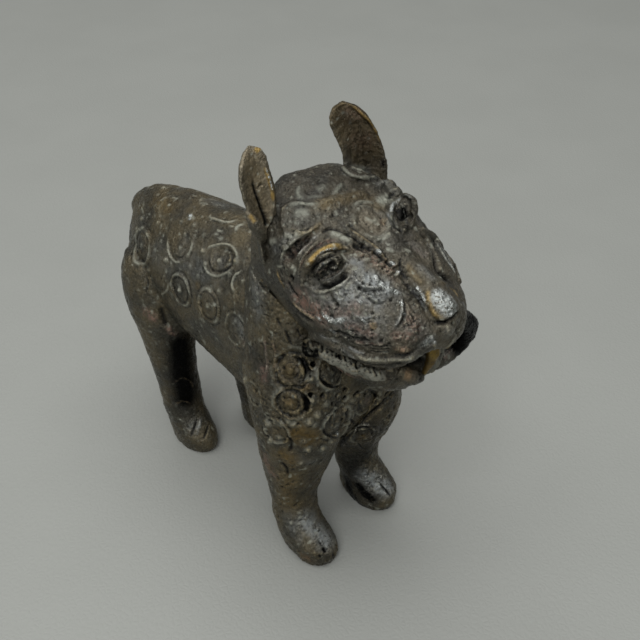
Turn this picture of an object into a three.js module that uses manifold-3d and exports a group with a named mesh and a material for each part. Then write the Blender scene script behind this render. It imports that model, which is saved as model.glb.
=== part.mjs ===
// A standing leopard figurine, lost-wax cast in bronze round a clay core.
// Millimetres, +Z up. The leopard faces -Y, its left side is +X, and it stands on z = 0.
// Each limb, ear, lip and tooth row was its own piece of wax, so each is its own piece here,
// trimmed to the piece that carries it with the same narrow seam all round.

import * as THREE from "three";
import { mergeVertices } from "three/addons/utils/BufferGeometryUtils.js";
import Module from "manifold-3d";

const wasm = await Module();
wasm.setup();

// Clearances and walls
const SEAM = 0.3; // gap left between two pieces that meet
const BRONZE_WALL = 3.2; // wall of the hollow body, neck and skull
const THROAT_WALL = 7; // wall of the neck round the core
const CORE_FINENESS = 0.5; // the core is rougher than the bronze

// Where the head sits on the neck, and how far it turns to the leopard's left
const NECK_Y = -35;
const HEAD_SHIFT = 0.7;
const HEAD_TURN = THREE.MathUtils.degToRad(8.5);

// Every lofted shape is a list of cross-sections. "at" is the place along the shape,
// "out" the sideways centre, "half" half the width, "low" and "high" the two ends of the
// third direction and "wide" where the section is widest. "over" and "under" are the powers
// of the two halves: 2 is an ellipse, more is squarer and less runs to a ridge.

// Lying shapes: "at" is y, and low, high and wide are heights.
const TORSO = {
  sides: 24,
  rings: 22,
  capStart: 13,
  capEnd: 6,
  stations: [
    { at: -56, half: 17, low: 46, high: 80, wide: 67, over: 2.1, under: 2.0 },
    { at: -40, half: 21, low: 35.5, high: 90, wide: 69, over: 2.1, under: 2.2 },
    { at: -20, half: 20, low: 41.2, high: 99, wide: 73, over: 1.95, under: 2.4 },
    { at: 0, half: 18.8, low: 43.4, high: 100.2, wide: 73, over: 1.85, under: 2.4 },
    { at: 22, half: 18, low: 46.8, high: 97.8, wide: 72, over: 1.85, under: 2.3 },
    { at: 42, half: 16, low: 51, high: 94, wide: 70, over: 1.75, under: 2.2 },
    { at: 53.5, half: 11, low: 57, high: 89.4, wide: 69, over: 1.75, under: 2.0 },
    { at: 60.2, half: 7, low: 62, high: 80.5, wide: 68, over: 1.9, under: 2.0 },
  ],
};

// The skull, its y measured from the turning point on the neck
const SKULL = {
  sides: 26,
  rings: 22,
  capStart: 7,
  capEnd: 10,
  stations: [
    { at: -47.5, half: 9.8, low: 88, high: 101.5, wide: 97, over: 2.3, under: 2.2 },
    { at: -41, half: 14.6, low: 86, high: 105.5, wide: 98, over: 2.4, under: 2.2 },
    { at: -32, half: 20, low: 85, high: 111.8, wide: 99.5, over: 2.75, under: 2.3 },
    { at: -21, half: 23.6, low: 85, high: 119.5, wide: 101, over: 2.7, under: 2.4 },
    { at: -10, half: 23.3, low: 87, high: 125.3, wide: 104, over: 2.8, under: 2.4 },
    { at: 0, half: 21.5, low: 90, high: 128.6, wide: 107, over: 2.8, under: 2.4 },
    { at: 9, half: 19.8, low: 92, high: 126.6, wide: 107, over: 2.7, under: 2.2 },
    { at: 17, half: 14.2, low: 98, high: 118.4, wide: 107, over: 2.2, under: 2.1 },
  ],
};

// The mouth is a flat cut that opens the skull from below. Its roof rises towards the nose. The
// jaw, tongue, teeth, fangs and lips are measured up from the roof's back edge.
const MOUTH = { roof: 91.6, back: -11.5, rise: 2 };

const JAW = {
  sides: 20,
  rings: 12,
  capStart: 7,
  capEnd: 0,
  stations: [
    { at: -39, half: 9.5, low: -18.4, high: -5.6, wide: -9.6, over: 3.2, under: 2.0 },
    { at: -30, half: 15, low: -18.8, high: -5.2, wide: -9.1, over: 3.4, under: 2.1 },
    { at: -18, half: 19.2, low: -14.4, high: -5, wide: -8.1, over: 3.4, under: 2.2 },
    { at: -6, half: 20.2, low: -11.6, high: -4.8, wide: -7.6, over: 3.2, under: 2.2 },
  ],
};

const NOSE_BRIDGE = {
  sides: 14,
  rings: 12,
  capStart: 4,
  capEnd: 4,
  stations: [
    { at: -48.5, half: 5.2, low: 96, high: 103.5, wide: 99.5, over: 2.2, under: 2.0 },
    { at: -43, half: 5.6, low: 99, high: 108, wide: 103, over: 2.0, under: 2.0 },
    { at: -32, half: 4.0, low: 107, high: 114.2, wide: 110.5, over: 2.0, under: 2.0 },
    { at: -22, half: 3.2, low: 115.5, high: 121, wide: 118, over: 2.0, under: 2.0 },
  ],
};

const TONGUE = {
  sides: 12,
  rings: 9,
  capStart: 5,
  capEnd: 3,
  stations: [
    { at: -31, half: 4.5, low: -5.6, high: -2.2, wide: -3.8, over: 2.0, under: 2.0 },
    { at: -22, half: 7, low: -5.4, high: -1.4, wide: -3.6, over: 2.0, under: 2.0 },
    { at: -11, half: 7, low: -5, high: -1.2, wide: -3.2, over: 2.0, under: 2.0 },
  ],
};

// Standing shapes: "at" is z, and low, high and wide are y.
const NECK = {
  sides: 24,
  rings: 8,
  capStart: 0,
  capEnd: 0,
  stations: [
    { at: 58, half: 22.5, low: -54, high: -19, wide: -37, over: 2.2, under: 2.2 },
    { at: 76, half: 24, low: -54, high: -17, wide: -36, over: 2.2, under: 2.2 },
    { at: 92, half: 22.6, low: -50, high: -16, wide: -35, over: 2.2, under: 2.2 },
    { at: 104, half: 20.5, low: -47, high: -18.5, wide: -34, over: 2.2, under: 2.2 },
    { at: 114, half: 17.5, low: -45, high: -23, wide: -34, over: 2.2, under: 2.2 },
    { at: 120, half: 14, low: -43, high: -27, wide: -34, over: 2.2, under: 2.2 },
  ],
};

// Legs stand on z = 0. "lag" is how far back the left one is set, "spread" how much farther out.
const FORELEG = {
  sides: 20,
  rings: 17,
  capStart: 0,
  capEnd: 8,
  stations: [
    { at: 0, out: 14.7, half: 6.2, low: -57, high: -35, wide: -48, lag: 4.4, spread: 2.2 },
    { at: 3.5, out: 14.7, half: 7.2, low: -58, high: -34.2, wide: -48, lag: 4.4, spread: 2.2 },
    { at: 8, out: 15.4, half: 7.2, low: -56.5, high: -34, wide: -46, lag: 4.2, spread: 2 },
    { at: 13, out: 15.8, half: 7.2, low: -50.5, high: -34.2, wide: -42, lag: 4, spread: -0.2 },
    { at: 20, out: 16.1, half: 7.4, low: -47.8, high: -34, wide: -41, lag: 3, spread: -1.6 },
    { at: 30, out: 15.2, half: 9.5, low: -48.8, high: -32, wide: -41, lag: 1, spread: -1.8 },
    { at: 38, out: 14, half: 12.2, low: -51, high: -30, wide: -41, lag: -1.5, spread: -3.2 },
    { at: 46, out: 13.6, half: 12.8, low: -53.5, high: -27.5, wide: -41, lag: -2, spread: -2.6 },
    { at: 58, out: 13.4, half: 13.4, low: -55.5, high: -23.5, wide: -40, lag: 0, spread: -1.6 },
    { at: 72, out: 12.8, half: 13.6, low: -55, high: -21, wide: -38, lag: 0, spread: -0.6 },
    { at: 86, out: 9, half: 12.5, low: -50, high: -21, wide: -36, lag: 0 },
  ],
};

const HINDLEG = {
  sides: 20,
  rings: 17,
  capStart: 0,
  capEnd: 8,
  stations: [
    { at: 0, out: 11.4, half: 5.8, low: 12.2, high: 33.2, wide: 21, lag: -11, spread: 2.4 },
    { at: 4, out: 11.4, half: 6.5, low: 10.6, high: 34, wide: 21, lag: -11, spread: 2.4 },
    { at: 9, out: 11.8, half: 6.5, low: 13.4, high: 34, wide: 24, lag: -11, spread: 2.2 },
    { at: 14, out: 12, half: 6.8, low: 17.8, high: 34.2, wide: 27, lag: -11, spread: 2 },
    { at: 22, out: 12.2, half: 7.1, low: 19.7, high: 35, wide: 28, lag: -10.5, spread: 1.5 },
    { at: 34, out: 12.4, half: 7.9, low: 21, high: 38, wide: 30.5, lag: -9, spread: 1 },
    { at: 46, out: 12.2, half: 9.2, low: 21.5, high: 43, wide: 33, lag: -5 },
    { at: 58, out: 11, half: 11.4, low: 22.5, high: 50, wide: 37, lag: -1 },
    { at: 68, out: 9.6, half: 11.6, low: 24, high: 52.5, wide: 39, lag: 0 },
    { at: 78, out: 8, half: 10, low: 28, high: 50.5, wide: 40, lag: 0 },
  ],
};

// Rosettes, placed where the photograph shows them. "third" is a height on the lying shapes
// and y on the standing ones.
const ROSETTE = { radius: 4.5, band: 0.9, boss: 1.5, rise: 0.6, root: 0.5, sides: 10 };
const ROSETTES = {
  torso: [
    { at: 35.3, third: 80.2 },
    { at: 15.3, third: 90 },
    { at: -4.5, third: 93.2 },
    { at: 12, third: 75.5 },
    { at: -3.5, third: 78 },
  ],
  foreleg: [
    { at: 79, third: -46.9, size: 4.2 },
    { at: 68.8, third: -48.8, size: 4.2 },
    { at: 54.9, third: -40.5 },
  ],
  skull: [{ at: -5, third: 123.6, size: 5 }],
};

// Toe slits: "reach" is how far back of the paw's front one is centred, as a share of its length
const TOE = { height: 5.5, width: 1.1, length: 9, pitch: 3.4, reach: 0.3, slope: -50, fan: -8 };

// An ear is a leaf-shaped blade. "at" is the height above its root on the skull, "cup" how far
// its edges come forward, "curl" how far its tip goes back, and "turn", "lean" and "back" are
// the angles it is set at.
const EAR = { sides: 14, rings: 12, capStart: 0, capEnd: 6, thick: 1.3 };
const EARS = {
  ear_right: {
    side: -1,
    root: [-22, 2.5, 117],
    turn: -8,
    lean: -2,
    back: 8,
    cup: 2.6,
    curl: 1.5,
    outline: [
      { at: -6, out: 1.5, half: 2.6 },
      { at: 2, out: 1.3, half: 3 },
      { at: 8.5, out: 1.2, half: 4.5 },
      { at: 14, out: 0.8, half: 5.4 },
      { at: 21, out: 0.6, half: 5.3 },
      { at: 26.4, out: 1.5, half: 4.6 },
    ],
  },
  ear_left: {
    side: 1,
    root: [21, 1, 119],
    turn: -38,
    lean: 4,
    back: 6,
    cup: 3,
    curl: 4,
    outline: [
      { at: -6, out: 0.5, half: 6.4 },
      { at: 4, out: 0.5, half: 6.6 },
      { at: 9, out: -0.1, half: 6.2 },
      { at: 13, out: -1.6, half: 6.4 },
      { at: 18, out: -3.5, half: 6.2 },
      { at: 22.2, out: -4.4, half: 5.6 },
    ],
  },
};

// Paths in the mouth's measure: x to the leopard's left, y from the neck, z up from the roof
const LIPS = {
  lip_right: { from: -45.5, to: -13, radii: [1.3, 1.6, 1.7, 1.6, 1.2] },
  lip_left: {
    path: [
      [6, -45, 1.4],
      [12.9, -44.3, 0],
      [17, -41.5, -5.2],
      [17, -39.4, -10.6],
      [12.8, -37.8, -14.2],
      [5, -36.5, -15.2],
    ],
    radii: [1.8, 2.6, 2.9, 2.7, 2.2, 1.5],
  },
};
const FANGS = {
  fang_upper_right: {
    path: [[-1, -41.4, 2.9], [-0.8, -42.6, -3.6], [-2.2, -41, -11]],
    radii: [2.1, 1.9, 0.5],
  },
  fang_upper_left: {
    path: [[9.6, -40, 2.9], [9.8, -40.5, -3], [9, -39.5, -8.6]],
    radii: [1.9, 1.7, 0.5],
  },
  fang_lower_right: {
    path: [[-11.5, -28, -8.6], [-11.8, -29, -3.6], [-11.6, -29.5, -0.8]],
    radii: [1.7, 1.5, 0.4],
  },
  fang_lower_left: {
    path: [[11.5, -28, -8.6], [11.8, -29, -3.6], [11.6, -29.5, -0.8]],
    radii: [1.7, 1.5, 0.4],
  },
};

// Each tooth row is a gum with pegs on it. The lower row lies along the jaw's outer face.
const TEETH = {
  upper_teeth: {
    path: [
      [-20.5, -13.5, -0.4],
      [-17.5, -25, 0],
      [-12, -34, 0.3],
      [0, -39.5, 0.4],
      [12, -34, 0.3],
      [17.5, -25, 0],
      [20.5, -13.5, -0.4],
    ],
    count: 10,
    upward: -1,
    tooth: { gum: 1.1, root: 1.2, top: 0.9, tall: 2.2 },
  },
  lower_teeth: {
    path: [
      [-20.6, -12.2, -8.6],
      [-19.5, -20.4, -8.9],
      [-15.5, -30.4, -9.6],
      [-7.8, -38, -10.3],
      [0, -40, -10.6],
      [7.8, -38, -10.3],
      [15.5, -30.4, -9.6],
      [19.5, -20.4, -8.9],
      [20.6, -12.2, -8.6],
    ],
    count: 15,
    upward: 1,
    tooth: { gum: 1.2, root: 1.5, top: 1.1, tall: 5 },
  },
};

const TAIL = {
  path: [
    [0, 48.5, 84.5],
    [0, 55.5, 81.8],
    [3.6, 60, 72.5],
    [8, 58.5, 58],
    [10, 55, 44],
    [11, 54, 32],
    [11, 57, 25],
  ],
  radii: [6.8, 6, 4.4, 3.5, 3.1, 3, 1.2],
};

// Iron pins held the core while the bronze was poured. Each stands square to the surface.
const PINS = {
  core_pin_belly_front: { at: -10, angle: -80 },
  core_pin_belly_rear: { at: 14, angle: -80 },
  core_pin_flank_front: { at: 2, angle: 8 },
  core_pin_flank_rear: { at: 34, angle: 24 },
};
const PIN_RADIUS = 1.3;
const PIN_LENGTH = 9;

// Eyes: an almond ball in a socket, and a raised lid round it. "drop" is how far below the top of
// the skull's section an eye sits, and "tilt" how far its nose end is turned up. The lid's ends
// are wrapped back round the skull and pinched to points.
const EYES = {
  right: { side: -1, at: -17.6, drop: 5.4, tilt: 46 },
  left: { side: 1, at: -19.4, drop: 2.2, tilt: 35 },
};
const EYE = { long: 4.9, high: 2.9, deep: 3.4 };
const LID = { long: 6.8, high: 4.2, radius: 1.1, lift: 0.6, wrap: 0.035, pinch: 0.35 };

// What a station means when it leaves a value out
const PLAIN = { out: 0, over: 2.05, under: 2.05 };

const power = (value, n) => Math.sign(value) * Math.abs(value) ** (2 / n);
const { clamp, lerp, degToRad } = THREE.MathUtils;

// A closed body of smooth sections along one axis.
class Loft {
  constructor(shape, standing = false) {
    this.shape = shape;
    this.standing = standing;
    this.keys = ["out", "half", "low", "high", "wide", "over", "under"];
    const rows = shape.stations;
    this.start = rows[0].at;
    this.end = rows[rows.length - 1].at;
    this.curve = new THREE.CubicInterpolant(
      rows.map((row) => row.at),
      rows.flatMap((row) => this.keys.map((key) => row[key] ?? PLAIN[key])),
      this.keys.length,
    );
  }

  section(at) {
    const values = this.curve.evaluate(clamp(at, this.start, this.end));
    return Object.fromEntries(this.keys.map((key, i) => [key, values[i]]));
  }

  // How much of the full section is left where a dome closes an end.
  dome(at, grow) {
    const { capStart, capEnd } = this.shape;
    const past = Math.max(
      capStart ? (this.start + capStart - at) / (capStart + grow) : 0,
      capEnd ? (at - (this.end - capEnd)) / (capEnd + grow) : 0,
      0,
    );
    return Math.sqrt(Math.max(0, 1 - past * past));
  }

  point(at, angle, grow = 0) {
    const s = this.section(at);
    const left = this.dome(at, grow);
    const across = s.out + left * (s.half + grow) * power(Math.cos(angle), lerp(s.over, s.under, 0.5));
    const rise = Math.sin(angle);
    const reach = rise > 0 ? s.high - s.wide + grow : s.wide - s.low + grow;
    const third = s.wide + left * reach * power(rise, rise > 0 ? s.over : s.under);
    return this.standing
      ? new THREE.Vector3(across, third, at)
      : new THREE.Vector3(across, at, third);
  }

  normal(at, angle) {
    const ahead = this.point(at + 0.5, angle).sub(this.point(at - 0.5, angle));
    const round = this.point(at, angle + 0.02).sub(this.point(at, angle - 0.02));
    const out = ahead.cross(round).normalize();
    const s = this.section(at);
    const centre = this.standing
      ? new THREE.Vector3(s.out, s.wide, at)
      : new THREE.Vector3(s.out, at, s.wide);
    return out.dot(this.point(at, angle).sub(centre)) < 0 ? out.negate() : out;
  }

  // The angle round the section at which the surface is at a given height.
  angleAt(at, height, side) {
    const s = this.section(at);
    const above = height > s.wide;
    const share = above ? (height - s.wide) / (s.high - s.wide) : (s.wide - height) / (s.wide - s.low);
    const rise = Math.asin(clamp(share, 0, 1) ** ((above ? s.over : s.under) / 2));
    const angle = above ? rise : -rise;
    return side > 0 ? angle : Math.PI - angle;
  }

  geometry(grow = 0, fineness = 1) {
    const { capStart, capEnd } = this.shape;
    const sides = Math.round(this.shape.sides * fineness);
    const rings = Math.round(this.shape.rings * fineness);
    const start = this.start - (capStart ? grow : 0);
    const end = this.end + (capEnd ? grow : 0);
    const outline = [];
    for (let ring = capStart ? 1 : 0; ring <= rings - (capEnd ? 1 : 0); ring++) {
      const even = ring / rings;
      const eased = 0.5 - 0.5 * Math.cos(Math.PI * even);
      const at = lerp(start, end, 0.5 * even + 0.5 * eased);
      outline.push(
        Array.from({ length: sides }, (_, k) => this.point(at, (2 * Math.PI * k) / sides, grow)),
      );
    }
    const tip = (at, ring) => (this.dome(at, grow) < 1e-6 ? this.point(at, 0, grow) : middle(ring));
    return skin(outline, tip(start, outline[0]), tip(end, outline[outline.length - 1]));
  }
}

function middle(points) {
  const sum = points.reduce((all, point) => all.add(point), new THREE.Vector3());
  return sum.divideScalar(points.length);
}

// Closes a list of rings into one surface, with a point at each end.
function skin(rings, first, last) {
  const sides = rings[0].length;
  const points = [first, ...rings.flat(), last];
  const at = (ring, k) => 1 + ring * sides + (k % sides);
  const index = [];
  for (let k = 0; k < sides; k++) {
    index.push(0, at(0, k), at(0, k + 1));
    index.push(points.length - 1, at(rings.length - 1, k + 1), at(rings.length - 1, k));
    for (let ring = 0; ring + 1 < rings.length; ring++) {
      index.push(at(ring, k), at(ring + 1, k), at(ring, k + 1));
      index.push(at(ring, k + 1), at(ring + 1, k), at(ring + 1, k + 1));
    }
  }
  const geometry = new THREE.BufferGeometry().setFromPoints(points);
  geometry.setIndex(index);
  return geometry;
}

// Closes a list of sections into a ring that is closed both ways.
function loop(sections) {
  const count = sections.length;
  const corners = sections[0].length;
  const at = (section, k) => (section % count) * corners + (k % corners);
  const index = [];
  for (let section = 0; section < count; section++) {
    for (let k = 0; k < corners; k++) {
      index.push(at(section, k), at(section + 1, k), at(section, k + 1));
      index.push(at(section, k + 1), at(section + 1, k), at(section + 1, k + 1));
    }
  }
  const geometry = new THREE.BufferGeometry().setFromPoints(sections.flat());
  geometry.setIndex(index);
  return geometry;
}

// Turns a three.js surface into a solid that can be joined and cut.
function solid(geometry, matrix = new THREE.Matrix4()) {
  const bare = geometry.clone().applyMatrix4(matrix);
  bare.deleteAttribute("normal");
  bare.deleteAttribute("uv");
  const merged = mergeVertices(bare, 1e-4);
  const make = (triVerts) =>
    new wasm.Manifold(
      new wasm.Mesh({ numProp: 3, vertProperties: merged.attributes.position.array, triVerts }),
    );
  const index = new Uint32Array(merged.index.array);
  const made = make(index);
  return made.volume() < 0 ? make(index.slice().reverse()) : made;
}

const join = (...shapes) => shapes.flat().reduce((all, shape) => all.add(shape));
const cut = (shape, ...tools) => tools.flat().reduce((left, tool) => left.subtract(tool), shape);

function tube(points, radii, sides, steps) {
  const curve = new THREE.CatmullRomCurve3(points.map(([x, y, z]) => new THREE.Vector3(x, y, z)));
  const frames = curve.computeFrenetFrames(steps, false);
  const radiusAt = (t) => {
    const place = t * (radii.length - 1);
    const i = Math.min(Math.floor(place), radii.length - 2);
    return lerp(radii[i], radii[i + 1], place - i);
  };
  const rings = [];
  for (let step = 0; step <= steps; step++) {
    const t = step / steps;
    const centre = curve.getPoint(t);
    rings.push(
      Array.from({ length: sides }, (_, k) => {
        const angle = (2 * Math.PI * k) / sides;
        return centre
          .clone()
          .addScaledVector(frames.normals[step], radiusAt(t) * Math.cos(angle))
          .addScaledVector(frames.binormals[step], radiusAt(t) * Math.sin(angle));
      }),
    );
  }
  return skin(rings, curve.getPoint(0), curve.getPoint(1));
}

// A closed tube of one radius round a loop of points.
function ring(path, radius, sides, steps) {
  const curve = new THREE.CatmullRomCurve3(path.map(([x, y, z]) => new THREE.Vector3(x, y, z)), true);
  return new THREE.TubeGeometry(curve, steps, radius, sides, true);
}

function mesh(name, shape, material) {
  const { numProp, numVert, vertProperties, triVerts } = shape.getMesh();
  const position = new Float32Array(numVert * 3);
  for (let i = 0; i < numVert; i++) {
    position.set(vertProperties.subarray(i * numProp, i * numProp + 3), i * 3);
  }
  const geometry = new THREE.BufferGeometry();
  geometry.setAttribute("position", new THREE.BufferAttribute(position, 3));
  geometry.setIndex(new THREE.BufferAttribute(triVerts, 1));
  geometry.computeVertexNormals();
  const made = new THREE.Mesh(geometry, material.clone());
  made.name = name;
  return made;
}

const bronze = new THREE.MeshStandardMaterial({ color: 0x4a3f33, roughness: 0.45, metalness: 0.9 });
const clay = new THREE.MeshStandardMaterial({ color: 0x8a5a3c, roughness: 0.95, metalness: 0 });
const iron = new THREE.MeshStandardMaterial({ color: 0x5b4636, roughness: 0.8, metalness: 0.6 });
const crusted = new THREE.MeshStandardMaterial({ color: 0x8f8d80, roughness: 0.85, metalness: 0.3 });
const worn = new THREE.MeshStandardMaterial({ color: 0x9a7a33, roughness: 0.4, metalness: 0.9 });

const figurine = new THREE.Group();
const head = new THREE.Matrix4()
  .makeTranslation(HEAD_SHIFT, NECK_Y, 0)
  .multiply(new THREE.Matrix4().makeRotationZ(HEAD_TURN));
const atRoof = head.clone().multiply(new THREE.Matrix4().makeTranslation(0, 0, MOUTH.roof));

// The largest single body of a shape, without the crumbs a trim can leave.
function largest(shape) {
  const bodies = shape.decompose();
  return bodies.reduce((best, body) => (body.volume() > best.volume() ? body : best));
}

// Adds pieces one after another. Each is trimmed to all the ones before it.
const taken = [];
function place(name, shape, clear, material = bronze) {
  figurine.add(mesh(name, largest(cut(shape, taken)), material));
  taken.push(clear);
}

const torsoLoft = new Loft(TORSO);
const neckLoft = new Loft(NECK, true);
const skullLoft = new Loft(SKULL);
const jawLoft = new Loft(JAW);
const bridgeLoft = new Loft(NOSE_BRIDGE);
const tongueLoft = new Loft(TONGUE);

// One of a pair of legs. The left one may lag behind and stand farther out.
const sided = (shape, side) => ({
  ...shape,
  stations: shape.stations.map((row) => {
    const shift = side > 0 ? row.lag ?? 0 : 0;
    const out = side * (row.out + (side > 0 ? row.spread ?? 0 : 0));
    return { ...row, out, low: row.low + shift, high: row.high + shift, wide: row.wide + shift };
  }),
});

// A piece that follows a path, and the same with its clearance.
const rope = (path, radii, sides, steps, matrix) =>
  [0, SEAM].map((grow) => solid(tube(path, radii.map((r) => r + grow), sides, steps), matrix));

// The open mouth cuts the skull off above the teeth, out past its sides, nose and underside.
const mouth = (grow) => {
  const { stations } = SKULL;
  const half = 2 * Math.max(...stations.map((row) => row.half));
  const tall = 2 * (MOUTH.roof - Math.min(...stations.map((row) => row.low)));
  const deep = MOUTH.back - 1.5 * stations[0].at;
  return solid(
    new THREE.BoxGeometry(half, deep, tall),
    new THREE.Matrix4()
      .makeTranslation(0, -grow - deep / 2, -grow - tall / 2)
      .premultiply(new THREE.Matrix4().makeRotationX(degToRad(-MOUTH.rise)))
      .premultiply(new THREE.Matrix4().makeTranslation(0, MOUTH.back, 0))
      .premultiply(atRoof),
  );
};

// The clay core: what fills the torso, the throat and the skull, one body.
const hollow = (grow) =>
  join(
    solid(torsoLoft.geometry(grow - BRONZE_WALL, CORE_FINENESS)),
    solid(neckLoft.geometry(grow - THROAT_WALL, CORE_FINENESS)),
    cut(solid(skullLoft.geometry(grow - BRONZE_WALL, CORE_FINENESS), head), mouth(grow - BRONZE_WALL)),
  );

function pin({ at, angle }, grow) {
  const radians = degToRad(angle);
  const outward = torsoLoft.normal(at, radians);
  const depth = PIN_LENGTH + grow;
  const bar = new THREE.CylinderGeometry(PIN_RADIUS + grow, PIN_RADIUS + grow, depth + grow, 12);
  const top = torsoLoft.point(at, radians).addScaledVector(outward, 0.1 - depth / 2 + grow / 2);
  const turn = new THREE.Quaternion().setFromUnitVectors(new THREE.Vector3(0, 1, 0), outward);
  return solid(bar, new THREE.Matrix4().compose(top, turn, new THREE.Vector3(1, 1, 1)));
}

// Where an eye is set: square to the skull, its nose end turned up by the tilt.
function eyePlace({ side, at, drop, tilt }) {
  const angle = skullLoft.angleAt(at, skullLoft.section(at).high - drop, side);
  const outward = skullLoft.normal(at, angle);
  const along = new THREE.Vector3(0, -1, 0).addScaledVector(outward, outward.y).normalize();
  const upward = outward.clone().cross(along).multiplyScalar(side);
  const [level, steep] = [Math.cos(degToRad(tilt)), Math.sin(degToRad(tilt))];
  const forward = along.clone().multiplyScalar(level).addScaledVector(upward, -steep);
  const raised = upward.clone().multiplyScalar(level).addScaledVector(along, steep);
  const matrix = new THREE.Matrix4().makeBasis(forward, raised, outward);
  return matrix.setPosition(skullLoft.point(at, angle)).premultiply(head);
}
function eyeball(eye, grow) {
  const ball = new THREE.SphereGeometry(1, 14, 9);
  ball.scale(EYE.long + grow, EYE.high + grow, EYE.deep + grow);
  return solid(ball, eyePlace(eye));
}
function lid(eye, grow) {
  const path = Array.from({ length: 14 }, (_, k) => {
    const angle = (2 * Math.PI * k) / 14;
    const x = LID.long * Math.cos(angle);
    const y = LID.high * Math.sin(angle) * (1 - LID.pinch * Math.cos(angle) ** 2);
    return [x, y, LID.lift - LID.wrap * x * x];
  });
  return solid(ring(path, LID.radius + grow, 6, 20), eyePlace(eye));
}

// A rosette is a raised ring with a boss in the middle, laid over a lofted surface.
function rosette(loft, { at, third, size = ROSETTE.radius }, side, matrix, grow) {
  const { root, sides } = ROSETTE;
  const [band, rise] = [ROSETTE.band + grow, ROSETTE.rise + grow];
  const angle = loft.angleAt(at, third, side);
  const step = loft.point(at, angle + 0.05).distanceTo(loft.point(at, angle - 0.05)) / 0.1;
  const spot = (radius, turn, height) => {
    const [along, round] = [at + radius * Math.cos(turn), angle + (radius * Math.sin(turn)) / step];
    return loft.point(along, round).addScaledVector(loft.normal(along, round), height);
  };
  const turns = Array.from({ length: sides }, (_, k) => (2 * Math.PI * k) / sides);
  const sections = turns.map((turn) => [
    spot(size - band, turn, -root),
    spot(size, turn, rise),
    spot(size + band, turn, -root),
  ]);
  const boss = [turns.map((turn) => spot(ROSETTE.boss + grow, turn, -root))];
  return [
    solid(loop(sections), matrix),
    solid(skin(boss, spot(0, 0, -2 * root), spot(0, 0, 1.3 * rise)), matrix),
  ];
}
const rosettes = (loft, spots, sides, matrix, grow = 0) =>
  spots.flatMap((spot) => sides.flatMap((side) => rosette(loft, spot, side, matrix, grow)));

// A lofted surface with its rosettes, as made and with the clearance round it.
function marked(loft, spots, sides, matrix) {
  return [0, SEAM].map((grow) =>
    join(solid(loft.geometry(grow), matrix), rosettes(loft, spots, sides, matrix, grow)),
  );
}

// A plain loft, as made and with the clearance round it.
const plain = (loft, matrix) => [0, SEAM].map((grow) => solid(loft.geometry(grow), matrix));

// Three slits part the toes of a paw.
function toeSlits(loft) {
  const toe = loft.section(TOE.height);
  return [-1, 0, 1].map((step) => {
    const slit = new THREE.BoxGeometry(TOE.width, TOE.length, 1.5 * TOE.width);
    const matrix = new THREE.Matrix4().compose(
      new THREE.Vector3(toe.out + step * TOE.pitch, toe.low + TOE.length * TOE.reach, TOE.height),
      new THREE.Quaternion().setFromEuler(
        new THREE.Euler(degToRad(TOE.slope), 0, degToRad(TOE.fan * step)),
      ),
      new THREE.Vector3(1, 1, 1),
    );
    return solid(slit, matrix);
  });
}

// An ear's blade: a thin standing loft, its edges cupped forward and its tip curled back.
function ear({ outline, cup, curl }, grow) {
  const { thick, ...shape } = EAR;
  const stations = outline.map((row) => ({ ...row, low: -thick, high: thick, wide: 0 }));
  const blade = new Loft({ ...shape, stations }, true);
  const geometry = blade.geometry(grow);
  const { position } = geometry.attributes;
  for (let i = 0; i < position.count; i++) {
    const [x, y, z] = [position.getX(i), position.getY(i), position.getZ(i)];
    const { out, half } = blade.section(z);
    const across = clamp((x - out) / half, -1, 1);
    const up = z / blade.end;
    position.setY(i, y + cup * (0.5 - across * across) + curl * up * up);
  }
  return geometry;
}
function earPlace({ root, side, turn, lean, back }) {
  const angles = new THREE.Euler(degToRad(-back), degToRad(side * lean), degToRad(turn));
  return new THREE.Matrix4()
    .compose(
      new THREE.Vector3(...root),
      new THREE.Quaternion().setFromEuler(angles),
      new THREE.Vector3(1, 1, 1),
    )
    .premultiply(head);
}

// The right lip is a roll along the mouth's edge. The left one has a path of its own.
function lipPath({ path, from, to, radii }) {
  if (path) {
    return path;
  }
  return radii.map((_, k) => {
    const at = lerp(from, to, k / (radii.length - 1));
    const roof = MOUTH.roof + Math.tan(degToRad(MOUTH.rise)) * (MOUTH.back - at);
    const angle = skullLoft.angleAt(at, roof, -1);
    const edge = skullLoft.point(at, angle).addScaledVector(skullLoft.normal(at, angle), 0.5);
    return [edge.x, edge.y, edge.z - MOUTH.roof];
  });
}

// A row of teeth: a gum along a path and a peg at every step of it.
function teeth({ path, count, upward, tooth }, grow) {
  const curve = new THREE.CatmullRomCurve3(path.map(([x, y, z]) => new THREE.Vector3(x, y, z)));
  const pegs = curve.getSpacedPoints(count).map((point) => {
    const peg = new THREE.CylinderGeometry(tooth.top + grow, tooth.root + grow, tooth.tall + 2 * grow, 5);
    const matrix = new THREE.Matrix4()
      .makeTranslation(point.x, point.y, point.z + (upward * tooth.tall) / 2)
      .multiply(new THREE.Matrix4().makeRotationX((upward * Math.PI) / 2));
    return solid(peg, matrix.premultiply(atRoof));
  });
  const gum = tooth.gum + grow;
  return join(solid(tube(path, [gum, gum], 6, 16), atRoof), pegs);
}

// The body and head, from the pieces that carry others to those that are carried
const eyes = Object.entries(EYES);
const sockets = eyes.map(([, eye]) => eyeball(eye, SEAM));
const pinHoles = Object.values(PINS).map((where) => pin(where, SEAM));
const cavity = hollow(0);
const [skull, skullClear] = marked(skullLoft, ROSETTES.skull, [-1, 1], head);
place("skull", cut(skull, cavity, sockets, mouth(0)), cut(skullClear, mouth(SEAM)));
const [torso, torsoClear] = marked(torsoLoft, ROSETTES.torso, [-1, 1]);
place("torso", cut(torso, cavity, pinHoles), torsoClear);
const [neck, neckClear] = plain(neckLoft);
place("neck", cut(neck, cavity), neckClear);
place("lower_jaw", ...plain(jawLoft, atRoof));
place("nose_bridge", ...plain(bridgeLoft, head));

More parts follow.
